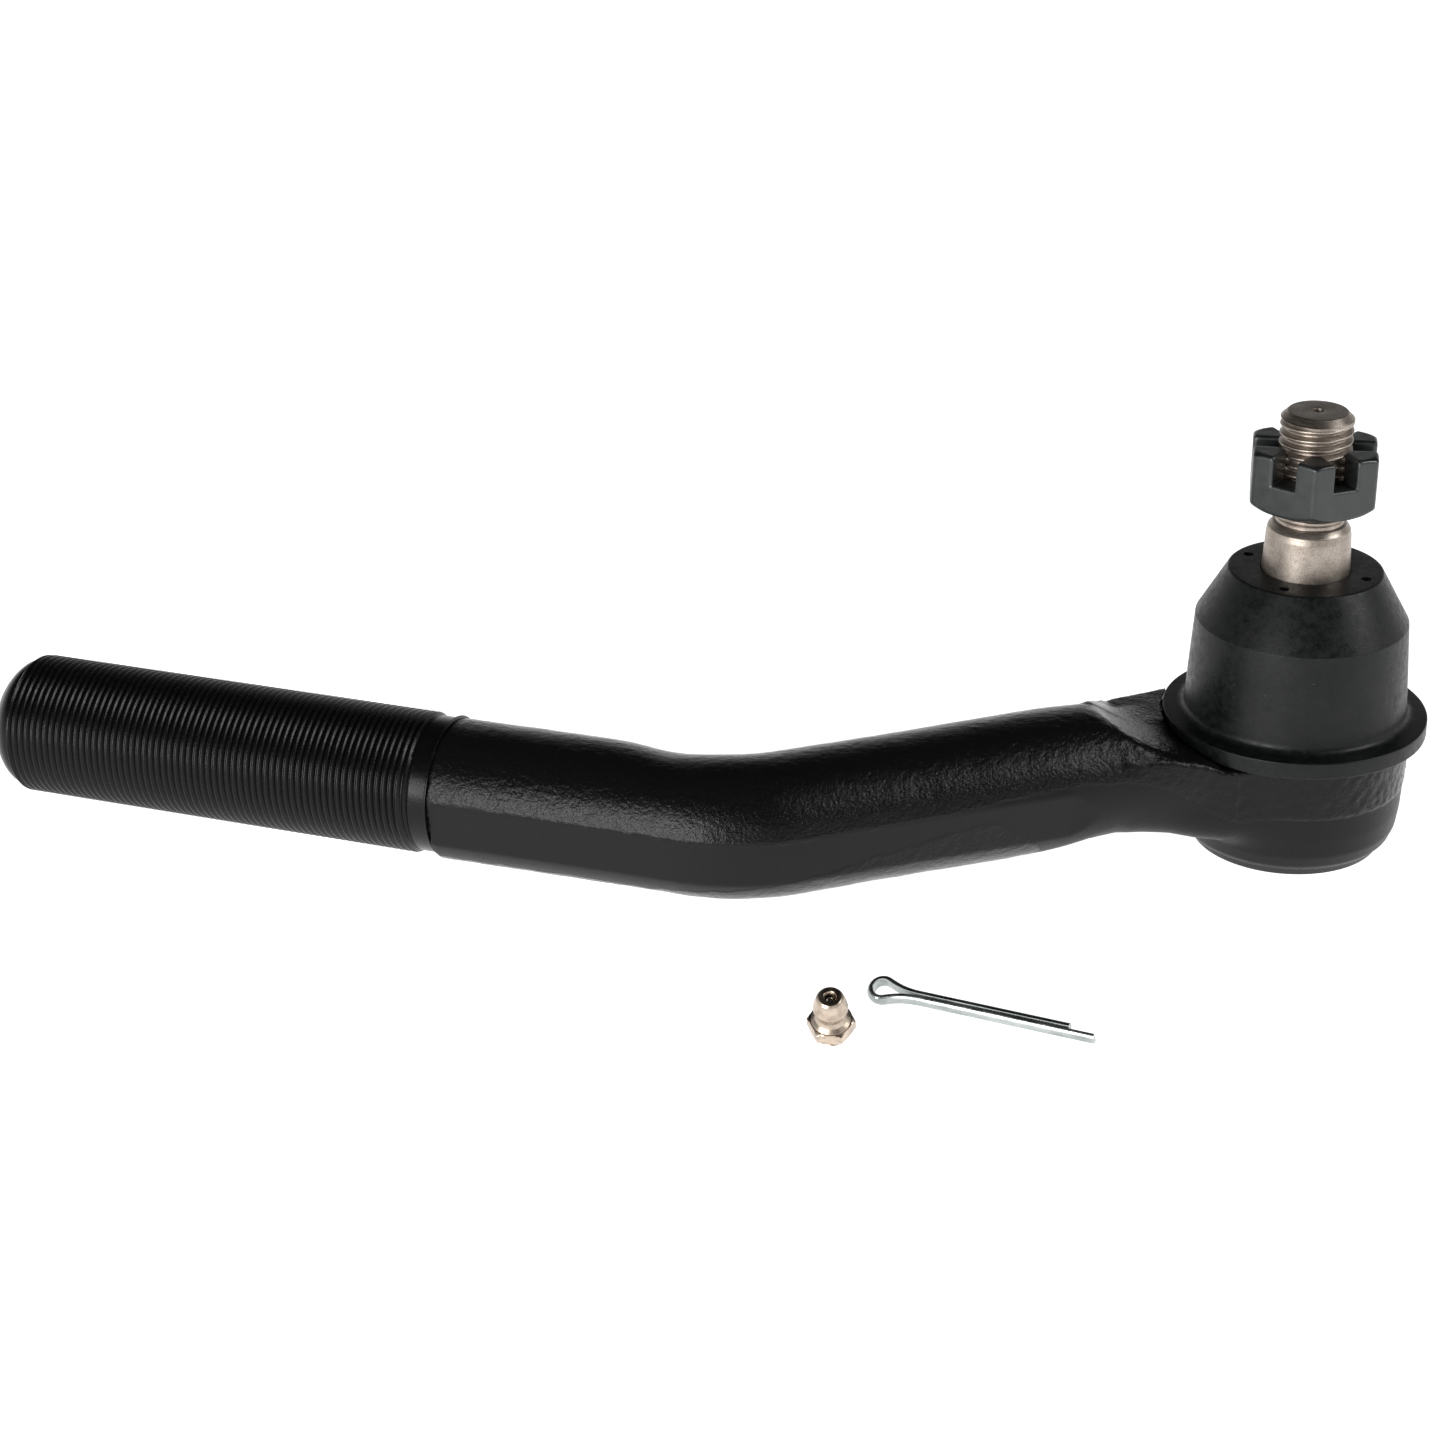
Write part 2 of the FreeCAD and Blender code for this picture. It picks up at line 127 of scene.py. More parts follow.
# Softness of the forging's joins.
FACET_BLEND = 5.0
CUT_TOP_BLEND = 1.6
CUT_UNDER_BLEND = 5.0
WEB_UNDER_BLEND = 8.0
WEB_TOP_BLEND = 1.2
WEB_BLEND = 1.8
SOCKET_BLEND = 2.6

# Socket outline outside and inside, with the spigot that the boot's flange sits round.
SOCKET_OUT_Z = (0.0, 1.6, 1.9, 3.2, 6.0, 10.5, 15.9, 16.5, 19.0, 27.3, 27.7, 34.3, 36.0)
SOCKET_OUT_R = (21.2, 21.5, 22.5, 23.7, 24.8, 25.35, 25.6, 25.85, 25.9, 26.1, 22.3, 22.3, 21.0)
SOCKET_IN_Z = (0.0, 1.3, 1.5, 3.9, 4.1, 27.4, 27.8, 36.0)
SOCKET_IN_R = (17.6, 17.6, 19.0, 19.0, 17.5, 17.5, 12.1, 15.3)
SOCKET_TOP_Z = 36.0
FLANGE_SEAT_Z = 27.7
FLANGE_CLEAR_R = 30.2
SPIGOT_R = 22.3
FORGING_LOW_Z = 1.7

# Heights of the trimmed strip's edges at distances from the stud's axis.
STRIP_TOP_AT = (-8, 4, 12, 22, 27, 31, 39, 47, 57, 70, 85, 105)
STRIP_TOP_Z = (16.0, 16.1, 16.2, 15.2, 16.8, 20.0, 25.1, 27.7, 29.2, 29.1, 28.2, 27.4)
STRIP_LOW_AT = (60, 70, 80, 100, 150)
STRIP_LOW_Z = (0.0, 16.0, 23.4, 21.0, 12.0)
STRIP_WAVER = 9.0

# Skin of the forging: fine and broad lumps, with deeper pits round the web.
LUMP_HEIGHT = 0.02
PIT_HEIGHT = 0.055
LUMP_WAVE = 2.2
PIT_START_R = 62
PIT_FADE = 25
SWELL_HEIGHT = 0.03
SWELL_WAVE = 8.0
SEAM_AT = 23.5
SEAM_WIDTH = 0.45
SEAM_HEIGHT = 0.28
SEAM_LOW_Z = 15.5
SHOULDER_FADE = 1.5
BUMP_SEED = 7
BUMP_WAVES = 40

# Sampling grids of the forging and the nut.
GRID_STEP = 0.55
GRID_LOW = np.array([-173.5, -101.5, 0.6])
GRID_HIGH = np.array([29.0, 29.5, 41.5])
NUT_STEP = 0.27
NUT_MARGIN = 0.5

# Thread form, as fractions of a pitch and of the thread's depth.
THREAD_SHAPE = ((0.0, 0.0), (0.11, 0.07), (0.37, 0.92), (0.43, 1.0),
                (0.57, 1.0), (0.63, 0.92), (0.89, 0.07))
THREAD_DEPTH = 0.6134
THREAD_COLUMNS = 112

# Threaded end of the shank. Its collar is sunk into the forging.
SHANK_THREAD_R = 15.875
SHANK_PITCH = 25.4 / 16
SHANK_TURNS = 63
SHANK_RELIEF_R = 15.2
SHANK_RELIEF = 4.8
SUNK_COLLAR_R = SHANK_RELIEF_R - 1.2
DOME_LENGTH = 8.5
DOME_POWER = 1.62
DOME_STEPS = 24

# Boot section as a closed ring of (radius, height, fillet), and its vent pits.
BOOT_SECTION = (
    (23.4, 34.0, 0), (23.4, 29.0, 0), (28.45, 29.0, 0), (28.45, 28.0, 0),
    (29.7, 28.0, 0.5), (29.7, 31.9, 0.4), (25.0, 32.0, 2.2), (24.5, 42.0, 6.0),
    (23.7, 54.5, 0.35), (17.1, 66.2, 0.7), (9.92, 66.2, 0.4), (10.2, 59.4, 0.3),
    (12.6, 59.4, 0.3), (12.6, 62.9, 0.5), (15.2, 62.9, 0.8), (20.6, 53.2, 3.0),
    (21.4, 44.0, 3.0), (22.6, 35.0, 0))
LIP_SECTION = (
    (17.7, 0.0, 0.3), (21.3, 0.0, 0.35), (21.6, 1.55, 0.2), (21.5, 2.1, 0),
    (19.6, 2.1, 0), (17.7, 1.1, 0.1))
TURNED_COLUMNS = 160
VENT_R = 1.15
VENT_LOW_Z = 64.4
VENT_HIGH_Z = 67.5
VENT_CIRCLE_R = 14.0
VENT_ANGLES = (164.0, -10.0, -100.0)

# Ball stud, from the ball's neck up to the thread, as (radius, height, fillet).
BALL_R = 13.0
BALL_Z = 21.5
BALL_STEPS = 32
NECK_R = 8.2
STUD_THREAD_R = 8.05
STUD_PITCH = 25.4 / 12
STUD_TURNS = 10
STUD_THREAD_START = 81.0
STUD_ROOT_R = STUD_THREAD_R - THREAD_DEPTH * STUD_PITCH
STUD_OUTLINE = (
    (NECK_R, 32.0, 0), (NECK_R, 45.0, 4.0), (10.05, 56.0, 1.0), (10.1, 60.0, 0.8),
    (9.38, 74.9, 0.2), (9.1, 76.3, 0.9), (8.1, 77.5, 0.4), (7.5, 77.8, 0.2),
    (7.5, 78.5, 0.3), (7.95, 79.2, 0.3), (7.95, 79.7, 0.3), (7.4, 80.2, 0.2),
    (7.4, 80.7, 0.1), (STUD_ROOT_R, STUD_THREAD_START, 0))
STUD_TIP_Z = 103.2
STUD_TIP_R = 6.5
STUD_CHAMFER = 1.5
SLOT_ANGLE = math.radians(10.1)
COTTER_HOLE_Z = 92.3
COTTER_HOLE_R = 2.0
COTTER_HOLE_HALF = 12.0

# Castle nut. Each chamfer cone: radius at the end face, radial slope, upright slope.
NUT_LOW_Z = 82.0
NUT_TOP_Z = 95.5
NUT_FLATS = 26.99
NUT_BORE_R = 8.15
NUT_SLOT_Z = 89.1
NUT_SLOT_HALF = 2.75
NUT_LOW_CONE = (13.3, 0.62, 0.785)
NUT_TOP_CONE = (14.6, 0.5, 0.866)

# Grease fitting, with heights from the top of its hexagon.
FITTING_AT = (-71.2, -124.9, 6.8)
FITTING_LEAN = math.radians(23.0)
FITTING_HEADING = math.radians(-78.0)
FITTING_FLATS = 8.73
FITTING_LOW_FACE = -3.1
FITTING_PITCH = 25.4 / 28
FITTING_THREAD_R = 3.1
FITTING_ROOT_R = 3.17 - THREAD_DEPTH * FITTING_PITCH
FITTING_THREAD_START = -5.7
FITTING_THREAD_END = -2.97
FITTING_HEAD = (
    (0, -0.5, 0), (4.2, -0.5, 0), (4.1, 0.08, 0.2), (3.3, 0.8, 0.5), (2.95, 1.7, 0.4),
    (2.95, 2.75, 0.2), (3.4, 3.0, 0.25), (3.65, 3.8, 0.8), (3.35, 5.4, 1.2),
    (2.85, 7.0, 0.9), (2.35, 7.6, 0.3), (1.35, 7.6, 0.2), (1.05, 7.1, 0.2),
    (1.0, 6.6, 0), (1.38, 6.5, 0), (1.38, 1.0, 0), (0, 1.0, 0))

# Cotter pin: half-round wire, with lengths from the back of its eye.
PIN_AT = (-69.7, -102.6, 2.1)
PIN_HEADING = math.radians(-4.9)
PIN_ROLL = math.radians(30.0)
PIN_LONG_END = 49.6
PIN_SHORT_END = 44.0
PIN_NECK = 8.6
PIN_GAP = 0.16
PIN_EYE_R = 1.9
PIN_EYE_X = 3.1
PIN_EYE_LEAN = math.radians(24)
PIN_WALL = 1.42
PIN_HALF_DEPTH = 1.5


# ---------------------------------------------------------------- mesh helpers

def mesh_object(name, vertices, faces, material, smooth_angle=32.0):
    """Object from millimetre vertices, welded, with outward normals."""
    mesh = bpy.data.meshes.new(name)
    mesh.from_pydata([tuple(v) for v in np.asarray(vertices, float) * MM], [], faces)
    build = bmesh.new()
    build.from_mesh(mesh)
    bmesh.ops.remove_doubles(build, verts=build.verts, dist=0.002 * MM)
    bmesh.ops.dissolve_degenerate(build, edges=build.edges, dist=0.001 * MM)
    loose = [v for v in build.verts if not v.link_faces]
    bmesh.ops.delete(build, geom=loose, context="VERTS")
    bmesh.ops.recalc_face_normals(build, faces=build.faces)
    build.to_mesh(mesh)
    build.free()
    obj = bpy.data.objects.new(name, mesh)
    bpy.context.collection.objects.link(obj)
    finish_shading(obj, material, smooth_angle)
    return obj


def finish_shading(obj, material, smooth_angle=32.0):
    mesh = obj.data
    mesh.polygons.foreach_set("use_smooth", [True] * len(mesh.polygons))
    mesh.set_sharp_from_angle(angle=math.radians(smooth_angle))
    mesh.materials.clear()
    mesh.materials.append(material)


def grid_faces(rows, columns):
    """Quads of a grid of points, row by row."""
    faces = []
    for row in range(rows - 1):
        start = row * columns
        for column in range(columns - 1):
            a = start + column
            faces.append((a, a + 1, a + columns + 1, a + columns))
    return faces


def filleted(corners, steps=5):
    """Rounds the corners of an open run of (radius, height, fillet) points."""
    points = []
    last = len(corners) - 1
    for index, (radius, height, fillet) in enumerate(corners):
        here = np.array([radius, height])
        if index in (0, last) or fillet <= 0:
            points.append(tuple(here))
            continue
        back = np.array(corners[index - 1][:2]) - here
        ahead = np.array(corners[index + 1][:2]) - here
        back_length, ahead_length = np.linalg.norm(back), np.linalg.norm(ahead)
        back, ahead = back / back_length, ahead / ahead_length
        half = math.acos(max(-1.0, min(1.0, float(back @ ahead)))) / 2
        reach = min(fillet / math.tan(half), 0.48 * back_length, 0.48 * ahead_length)
        start, end = here + back * reach, here + ahead * reach
        for step in range(steps + 1):
            t = step / steps
            points.append(tuple((1 - t) ** 2 * start + 2 * t * (1 - t) * here + t * t * end))
    return points


def turned(outline, columns=128):
    """Points and faces of a run of (radius, height) pairs turned about Z."""
    angles = np.linspace(0, 2 * math.pi, columns + 1)
    run = np.array(outline, float)
    radius, height = run[:, 0][:, None], run[:, 1][:, None]
    points = np.stack([radius * np.cos(angles), radius * np.sin(angles),
                       height + 0 * angles], axis=2)
    return points.reshape(-1, 3), grid_faces(len(outline), columns + 1)


def turned_loop(corners, columns=128, steps=5):
    """A turned ring: its (radius, height, fillet) corners close on themselves."""
    outline = filleted(list(corners) + [corners[0]], steps)
    return turned(outline, columns)


def thread_rows(start, turns, major_r, pitch, columns, fade, crest_end=None):
    """Rows of a true helical thread between two flat rings. It runs out to its root at
    each end, or to its crest at crest_end when that is given."""
    depth = THREAD_DEPTH * pitch
    end = crest_end or start + turns * pitch
    angles = np.linspace(0, 2 * math.pi, columns + 1)
    rows = []
    for turn in range(turns + 1):
        for fraction, rise in THREAD_SHAPE:
            height = start + (turn + fraction - 1 + angles / (2 * math.pi)) * pitch
            height = np.clip(height, start, end)
            near = height - start if crest_end else np.minimum(height - start, end - height)
            lift = rise * np.clip(near / (fade * pitch), 0, 1)
            if crest_end:
                lift = np.maximum(lift, np.clip(1 - (end - height) / (fade * pitch), 0, 1))
            radius = major_r - depth + depth * lift
            rows.append(np.stack([radius * np.cos(angles), radius * np.sin(angles),
                                  height], axis=1))
    return rows


def threaded_solid(below, thread, above, columns):
    """Turned run, helical thread and turned run in one skin."""
    angles = np.linspace(0, 2 * math.pi, columns + 1)

    def ring(radius, height):
        return np.stack([radius * np.cos(angles), radius * np.sin(angles),
                         height + 0 * angles], axis=1)

    rows = [ring(*pair) for pair in below] + thread + [ring(*pair) for pair in above]
    points = np.concatenate(rows)
    return points, grid_faces(len(rows), columns + 1)


def cut(obj, cutter):
    """Cuts another object out of obj, and removes the cutter."""
    modifier = obj.modifiers.new("cut", "BOOLEAN")
    modifier.operation = "DIFFERENCE"
    modifier.solver = "EXACT"
    modifier.object = cutter
    graph = bpy.context.evaluated_depsgraph_get()
    mesh = bpy.data.meshes.new_from_object(obj.evaluated_get(graph))
    obj.modifiers.clear()
    obj.data = mesh
    bpy.data.objects.remove(cutter)


def cylinder_object(radius, low, high, matrix, columns=48):
    outline = ((0, low), (radius, low), (radius, high), (0, high))
    points, faces = turned(outline, columns)
    obj = mesh_object("cutter", points, faces, bpy.data.materials.new("cutter"))
    obj.data.transform(matrix)
    return obj


def placed(obj, body, *nodes, slot):
    """Puts a piece on its body, in place of its CAD nodes."""
    if nodes:
        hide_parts(*nodes)
    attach(obj, body)
    return obj


# ---------------------------------------------------------------- materials

def shader(name, base, roughness, metallic=0.0, specular=0.5):
    """Principled material; returns it with its nodes, links and main shader."""
    material = bpy.data.materials.new(name)
    material.use_nodes = True
    nodes, links = material.node_tree.nodes, material.node_tree.links
    main = nodes["Principled BSDF"]
    main.inputs["Base Color"].default_value = (*base, 1)
    main.inputs["Roughness"].default_value = roughness
    main.inputs["Metallic"].default_value = metallic
    main.inputs["Specular IOR Level"].default_value = specular
    return material, nodes, links, main


def coordinates(nodes, links, stretch=(1, 1, 1)):
    """Object coordinates in millimetres, squeezed along each axis by stretch."""
    source = nodes.new("ShaderNodeTexCoord")
    scale = nodes.new("ShaderNodeMapping")
    scale.inputs["Scale"].default_value = tuple(1000 * value for value in stretch)
    links.new(source.outputs["Object"], scale.inputs["Vector"])
    return scale.outputs["Vector"]


def noise(nodes, links, vector, scale, detail=3.0, rough=0.55):
    texture = nodes.new("ShaderNodeTexNoise")
    texture.inputs["Scale"].default_value = scale
    texture.inputs["Detail"].default_value = detail
    texture.inputs["Roughness"].default_value = rough
    links.new(vector, texture.inputs["Vector"])
    return texture.outputs["Fac"]


def remap(nodes, links, value, low, high, to_low, to_high):
    """Maps a value's range onto another, clamped."""
    node = nodes.new("ShaderNodeMapRange")
    for socket, number in zip(("From Min", "From Max", "To Min", "To Max"),
                              (low, high, to_low, to_high)):
        node.inputs[socket].default_value = number
    links.new(value, node.inputs["Value"])
    return node.outputs["Result"]


def two_tone(nodes, links, factor, dark, light):
    mix = nodes.new("ShaderNodeMix")
    mix.data_type = "RGBA"
    mix.inputs["A"].default_value = (*dark, 1)
    mix.inputs["B"].default_value = (*light, 1)
    links.new(factor, mix.inputs["Factor"])
    return mix.outputs["Result"]


def combine(nodes, links, operation, first, second):
    """Maths on two values, either of which may be a number."""
    node = nodes.new("ShaderNodeMath")
    node.operation = operation
    for socket, value in zip(node.inputs, (first, second)):
        if isinstance(value, (int, float)):
            socket.default_value = value
        else:
            links.new(value, socket)
    return node.outputs["Value"]


def bump(nodes, links, main, height, distance_mm):
    node = nodes.new("ShaderNodeBump")
    node.inputs["Distance"].default_value = distance_mm * MM
    node.inputs["Strength"].default_value = 1.0
    links.new(height, node.inputs["Height"])
    links.new(node.outputs["Normal"], main.inputs["Normal"])


def forging_paint():
    """Wet-looking black paint on the rough forging, duller where the flash was ground."""
    material, nodes, links, main = shader(
        "forging_black_paint", (0.005, 0.005, 0.0053), 0.3, specular=0.19)
    zone = nodes.new("ShaderNodeAttribute")
    zone.attribute_name = "ground"
    ground = zone.outputs["Fac"]
    here = coordinates(nodes, links)
    grain = noise(nodes, links, here, 1.25, 3.0, 0.6)
    fine = noise(nodes, links, here, 3.2, 3.0)
    streak = noise(nodes, links, coordinates(nodes, links, (1, 1, 0.12)), 1.6, 2.0)
    rough = combine(nodes, links, "MULTIPLY_ADD", ground, 0.24)
    rough.node.inputs[2].default_value = 0.17
    patchy = combine(nodes, links, "ADD", rough, remap(nodes, links, grain, 0.3, 0.7, -0.04, 0.05))
    links.new(patchy, main.inputs["Roughness"])
    tone = two_tone(nodes, links, remap(nodes, links, fine, 0.35, 0.75, 0, 1),
                    (0.0035, 0.0035, 0.0037), (0.006, 0.006, 0.006))
    links.new(tone, main.inputs["Base Color"])
    peel = combine(nodes, links, "ADD", grain, combine(nodes, links, "MULTIPLY", fine, 0.3))
    forged = combine(nodes, links, "MULTIPLY", peel,
                     combine(nodes, links, "SUBTRACT", 1.0, ground))
    machined = combine(nodes, links, "MULTIPLY", streak,
                       combine(nodes, links, "MULTIPLY", ground, 0.12))
    bump(nodes, links, main, combine(nodes, links, "ADD", forged, machined), 0.19)
    return material


def thread_paint():
    material, nodes, links, main = shader(
        "thread_black_paint", (0.003, 0.003, 0.0032), 0.3, specular=0.19)
    here = coordinates(nodes, links)
    grain = noise(nodes, links, here, 1.1, 3.0)
    links.new(remap(nodes, links, grain, 0.3, 0.7, 0.2, 0.32), main.inputs["Roughness"])
    bump(nodes, links, main, noise(nodes, links, here, 3.0, 2.0), 0.02)
    return material


def boot_rubber():
    """Charcoal rubber with a mottled bloom, fine mould grain and a few dust specks."""
    material, nodes, links, main = shader(
        "boot_rubber", (0.01, 0.0115, 0.0115), 0.45, specular=0.22)
    here = coordinates(nodes, links)
    cloud = noise(nodes, links, here, 0.16, 5.0, 0.65)
    mottle = noise(nodes, links, here, 0.55, 5.0, 0.7)
    speck = nodes.new("ShaderNodeTexVoronoi")
    speck.inputs["Scale"].default_value = 0.55
    speck.inputs["Randomness"].default_value = 1.0
    links.new(here, speck.inputs["Vector"])
    dot = remap(nodes, links, speck.outputs["Distance"], 0.045, 0.075, 1, 0)
    sparse = remap(nodes, links, noise(nodes, links, here, 0.35, 1.0), 0.56, 0.6, 0, 1)
    dust = combine(nodes, links, "MULTIPLY", dot, sparse)
    blend = combine(nodes, links, "MULTIPLY", cloud, mottle)
    tone = two_tone(nodes, links, remap(nodes, links, blend, 0.15, 0.38, 0, 1),
                    (0.0022, 0.0027, 0.0028), (0.0065, 0.0075, 0.007))
    with_dust = nodes.new("ShaderNodeMix")
    with_dust.data_type = "RGBA"
    with_dust.inputs["B"].default_value = (0.12, 0.12, 0.11, 1)
    links.new(tone, with_dust.inputs["A"])
    links.new(combine(nodes, links, "MULTIPLY", dust, 0.6), with_dust.inputs["Factor"])
    links.new(with_dust.outputs["Result"], main.inputs["Base Color"])
    links.new(remap(nodes, links, mottle, 0.32, 0.68, 0.3, 0.52), main.inputs["Roughness"])
    bump(nodes, links, main, noise(nodes, links, here, 2.4, 4.0), 0.03)
    return material


def stud_steel():
    """Bare ground steel with a brown oil film, turning marks and dark specks."""
    material, nodes, links, main = shader(
        "stud_steel", (0.36, 0.31, 0.26), 0.4, metallic=1.0)
    here = coordinates(nodes, links)
    cloud = noise(nodes, links, here, 0.28, 4.0, 0.6)
    rings = noise(nodes, links, coordinates(nodes, links, (0.15, 0.15, 3.0)), 1.4, 3.0)
    speck = noise(nodes, links, here, 1.5, 4.0, 0.7)
    grain = noise(nodes, links, here, 3.0, 2.0, 0.6)
    mixed = combine(nodes, links, "ADD", combine(nodes, links, "MULTIPLY", cloud, 0.45),
                    combine(nodes, links, "MULTIPLY", grain, 0.55))
    tone = two_tone(nodes, links, remap(nodes, links, mixed, 0.38, 0.62, 0, 1),
                    (0.24, 0.2, 0.17), (0.4, 0.355, 0.31))
    dark = remap(nodes, links, speck, 0.67, 0.74, 0, 0.75)
    spotted = nodes.new("ShaderNodeMix")
    spotted.data_type = "RGBA"
    spotted.inputs["B"].default_value = (0.12, 0.075, 0.045, 1)
    links.new(tone, spotted.inputs["A"])
    links.new(dark, spotted.inputs["Factor"])
    links.new(spotted.outputs["Result"], main.inputs["Base Color"])
    links.new(remap(nodes, links, rings, 0.3, 0.7, 0.32, 0.5), main.inputs["Roughness"])
    bump(nodes, links, main, rings, 0.012)
    return material


def black_oxide():
    """Green-black oxide finish on steel, with lighter corners that are partly rubbed wear and
    partly painted highlight.
    """
    material, nodes, links, main = shader(
        "black_oxide", (0.015, 0.017, 0.017), 0.36, specular=0.6)
    here = coordinates(nodes, links)
    cloud = noise(nodes, links, here, 0.3, 4.0, 0.6)
    wear_and_highlight_bevel = nodes.new("ShaderNodeBevel")
    wear_and_highlight_bevel.inputs["Radius"].default_value = 0.35 * MM
    geometry = nodes.new("ShaderNodeNewGeometry")
    align = nodes.new("ShaderNodeVectorMath")
    align.operation = "DOT_PRODUCT"
    links.new(wear_and_highlight_bevel.outputs["Normal"], align.inputs[0])
    links.new(geometry.outputs["Normal"], align.inputs[1])
    # Edges are painted lighter: partly rubbed wear, partly a painted highlight for the light the
    # rounded edges catch.
    edge = remap(nodes, links, align.outputs["Value"], 0.9, 0.995, 1, 0)
    edge = combine(nodes, links, "MULTIPLY", edge, remap(nodes, links, cloud, 0.4, 0.6, 0.1, 0.6))
    # Edge colour: rubbed metal mixed with painted highlight.
    mix = nodes.new("ShaderNodeMix")
    mix.data_type = "RGBA"
    mix.inputs["B"].default_value = (0.16, 0.155, 0.14, 1)
    links.new(two_tone(nodes, links, remap(nodes, links, cloud, 0.35, 0.7, 0, 1),
                       (0.006, 0.0075, 0.0078), (0.014, 0.0165, 0.016)), mix.inputs["A"])
    links.new(edge, mix.inputs["Factor"])
    links.new(mix.outputs["Result"], main.inputs["Base Color"])
    links.new(remap(nodes, links, cloud, 0.3, 0.7, 0.27, 0.4), main.inputs["Roughness"])
    bump(nodes, links, main, noise(nodes, links, here, 2.2, 3.0), 0.02)
    return material


def plated(name, base, light, roughness, grain_stretch=(1, 1, 1)):
    """Bright plated metal with slight clouding and grain."""
    material, nodes, links, main = shader(name, base, roughness, metallic=1.0)
    here = coordinates(nodes, links, grain_stretch)
    cloud = noise(nodes, links, here, 0.5, 3.0)
    links.new(two_tone(nodes, links, remap(nodes, links, cloud, 0.35, 0.65, 0, 1), base, light),
              main.inputs["Base Color"])
    links.new(remap(nodes, links, cloud, 0.3, 0.7, roughness * 0.75, roughness * 1.3),
              main.inputs["Roughness"])
    bump(nodes, links, main, noise(nodes, links, here, 2.0, 2.0), 0.006)
    return material


def satin_paint():
    material, nodes, links, main = shader(
        "satin_black_paint", (0.012, 0.012, 0.012), 0.4, specular=0.45)
    here = coordinates(nodes, links)
    grain = noise(nodes, links, here, 0.8, 4.0)
    links.new(remap(nodes, links, grain, 0.3, 0.7, 0.32, 0.5), main.inputs["Roughness"])
    bump(nodes, links, main, grain, 0.05)
    return material


# ---------------------------------------------------------------- forged housing

def smooth_min(a, b, blend):
    h = np.clip(0.5 + 0.5 * (b - a) / blend, 0, 1)
    return b + (a - b) * h - blend * h * (1 - h)


def smooth_max(a, b, blend):
    return -smooth_min(-a, -b, blend)


def shank_frame(x, y):
    """Sideways offset from the shank's centreline (outward of the bend is positive),
    distance along it from the stud, and its radius there."""
    out = x * ALONG[0] + y * ALONG[1]
    inner_side = x * ACROSS[0] + y * ACROSS[1]
    outer_side = APEX[1] - y
    from_centre_x, from_centre_y = x - BEND_CENTRE[0], y - BEND_CENTRE[1]
    bend_side = np.hypot(from_centre_x, from_centre_y) - BEND_RADIUS
    before = out < STRAIGHT_LENGTH
    past = x < BEND_END[0]
    side = np.where(past, outer_side, np.where(before, inner_side, bend_side))
    swept = np.clip(BEND - np.arctan2(from_centre_x, -from_centre_y), 0, BEND)
    distance = np.where(past, TO_BEND_END + BEND_END[0] - x,
                        np.where(before, out, STRAIGHT_LENGTH + BEND_RADIUS * swept))
    return side, distance, np.interp(distance, RADIUS_AT, RADIUS)


def bar_field(side, up, distance, radius):
    """Round bar with draft above the parting line, a trimmed strip below it and a dip."""
    beside = np.abs(side)
    bar = np.hypot(side, up) - radius
    slope = beside * math.cos(DRAFT_ANGLE) + up * math.sin(DRAFT_ANGLE) - radius
    slope = np.maximum(slope, np.maximum(-up, up - radius * math.sin(DRAFT_ANGLE)))
    fade = np.clip((FADE_START - distance) / FADE_LENGTH, 0, 1)
    slope = slope + FADE_LIFT * fade
    trimmed = (beside * math.cos(TRIM_ANGLE) - up * math.sin(TRIM_ANGLE) - radius
               + TRIM_DEPTH - FADE_LIFT * fade)
    bar = smooth_max(np.minimum(bar, slope), trimmed, TRIM_BLEND)
    toward_dip = np.clip((DIP_UP * up - DIP_SIDE * side) / radius, 0, 1) ** 3
    return bar + DIP_DEPTH * toward_dip * np.exp(-((distance - DIP_AT) / DIP_REACH) ** 2)


def web_field(along, across, z, flat, under):
    """Web between shank and socket, wider and higher on its far side."""
    far_half = np.interp(along, WEB_FAR_AT, WEB_FAR_HALF)
    near_half = np.interp(along, WEB_NEAR_AT, WEB_NEAR_HALF)
    sides = np.maximum(across - near_half, -across - far_half)
    web = smooth_max(sides, under, WEB_UNDER_BLEND)
    far_top = z - np.interp(along, WEB_FAR_TOP_AT, WEB_FAR_TOP_Z)
    far_weight = np.clip(-across / SIDE_FADE, 0, 1)
    top = flat + (np.minimum(flat, far_top) - flat) * far_weight
    web = smooth_max(web, top, WEB_TOP_BLEND)
    return np.maximum(web, np.maximum(along - WEB_END, WEB_START - along))


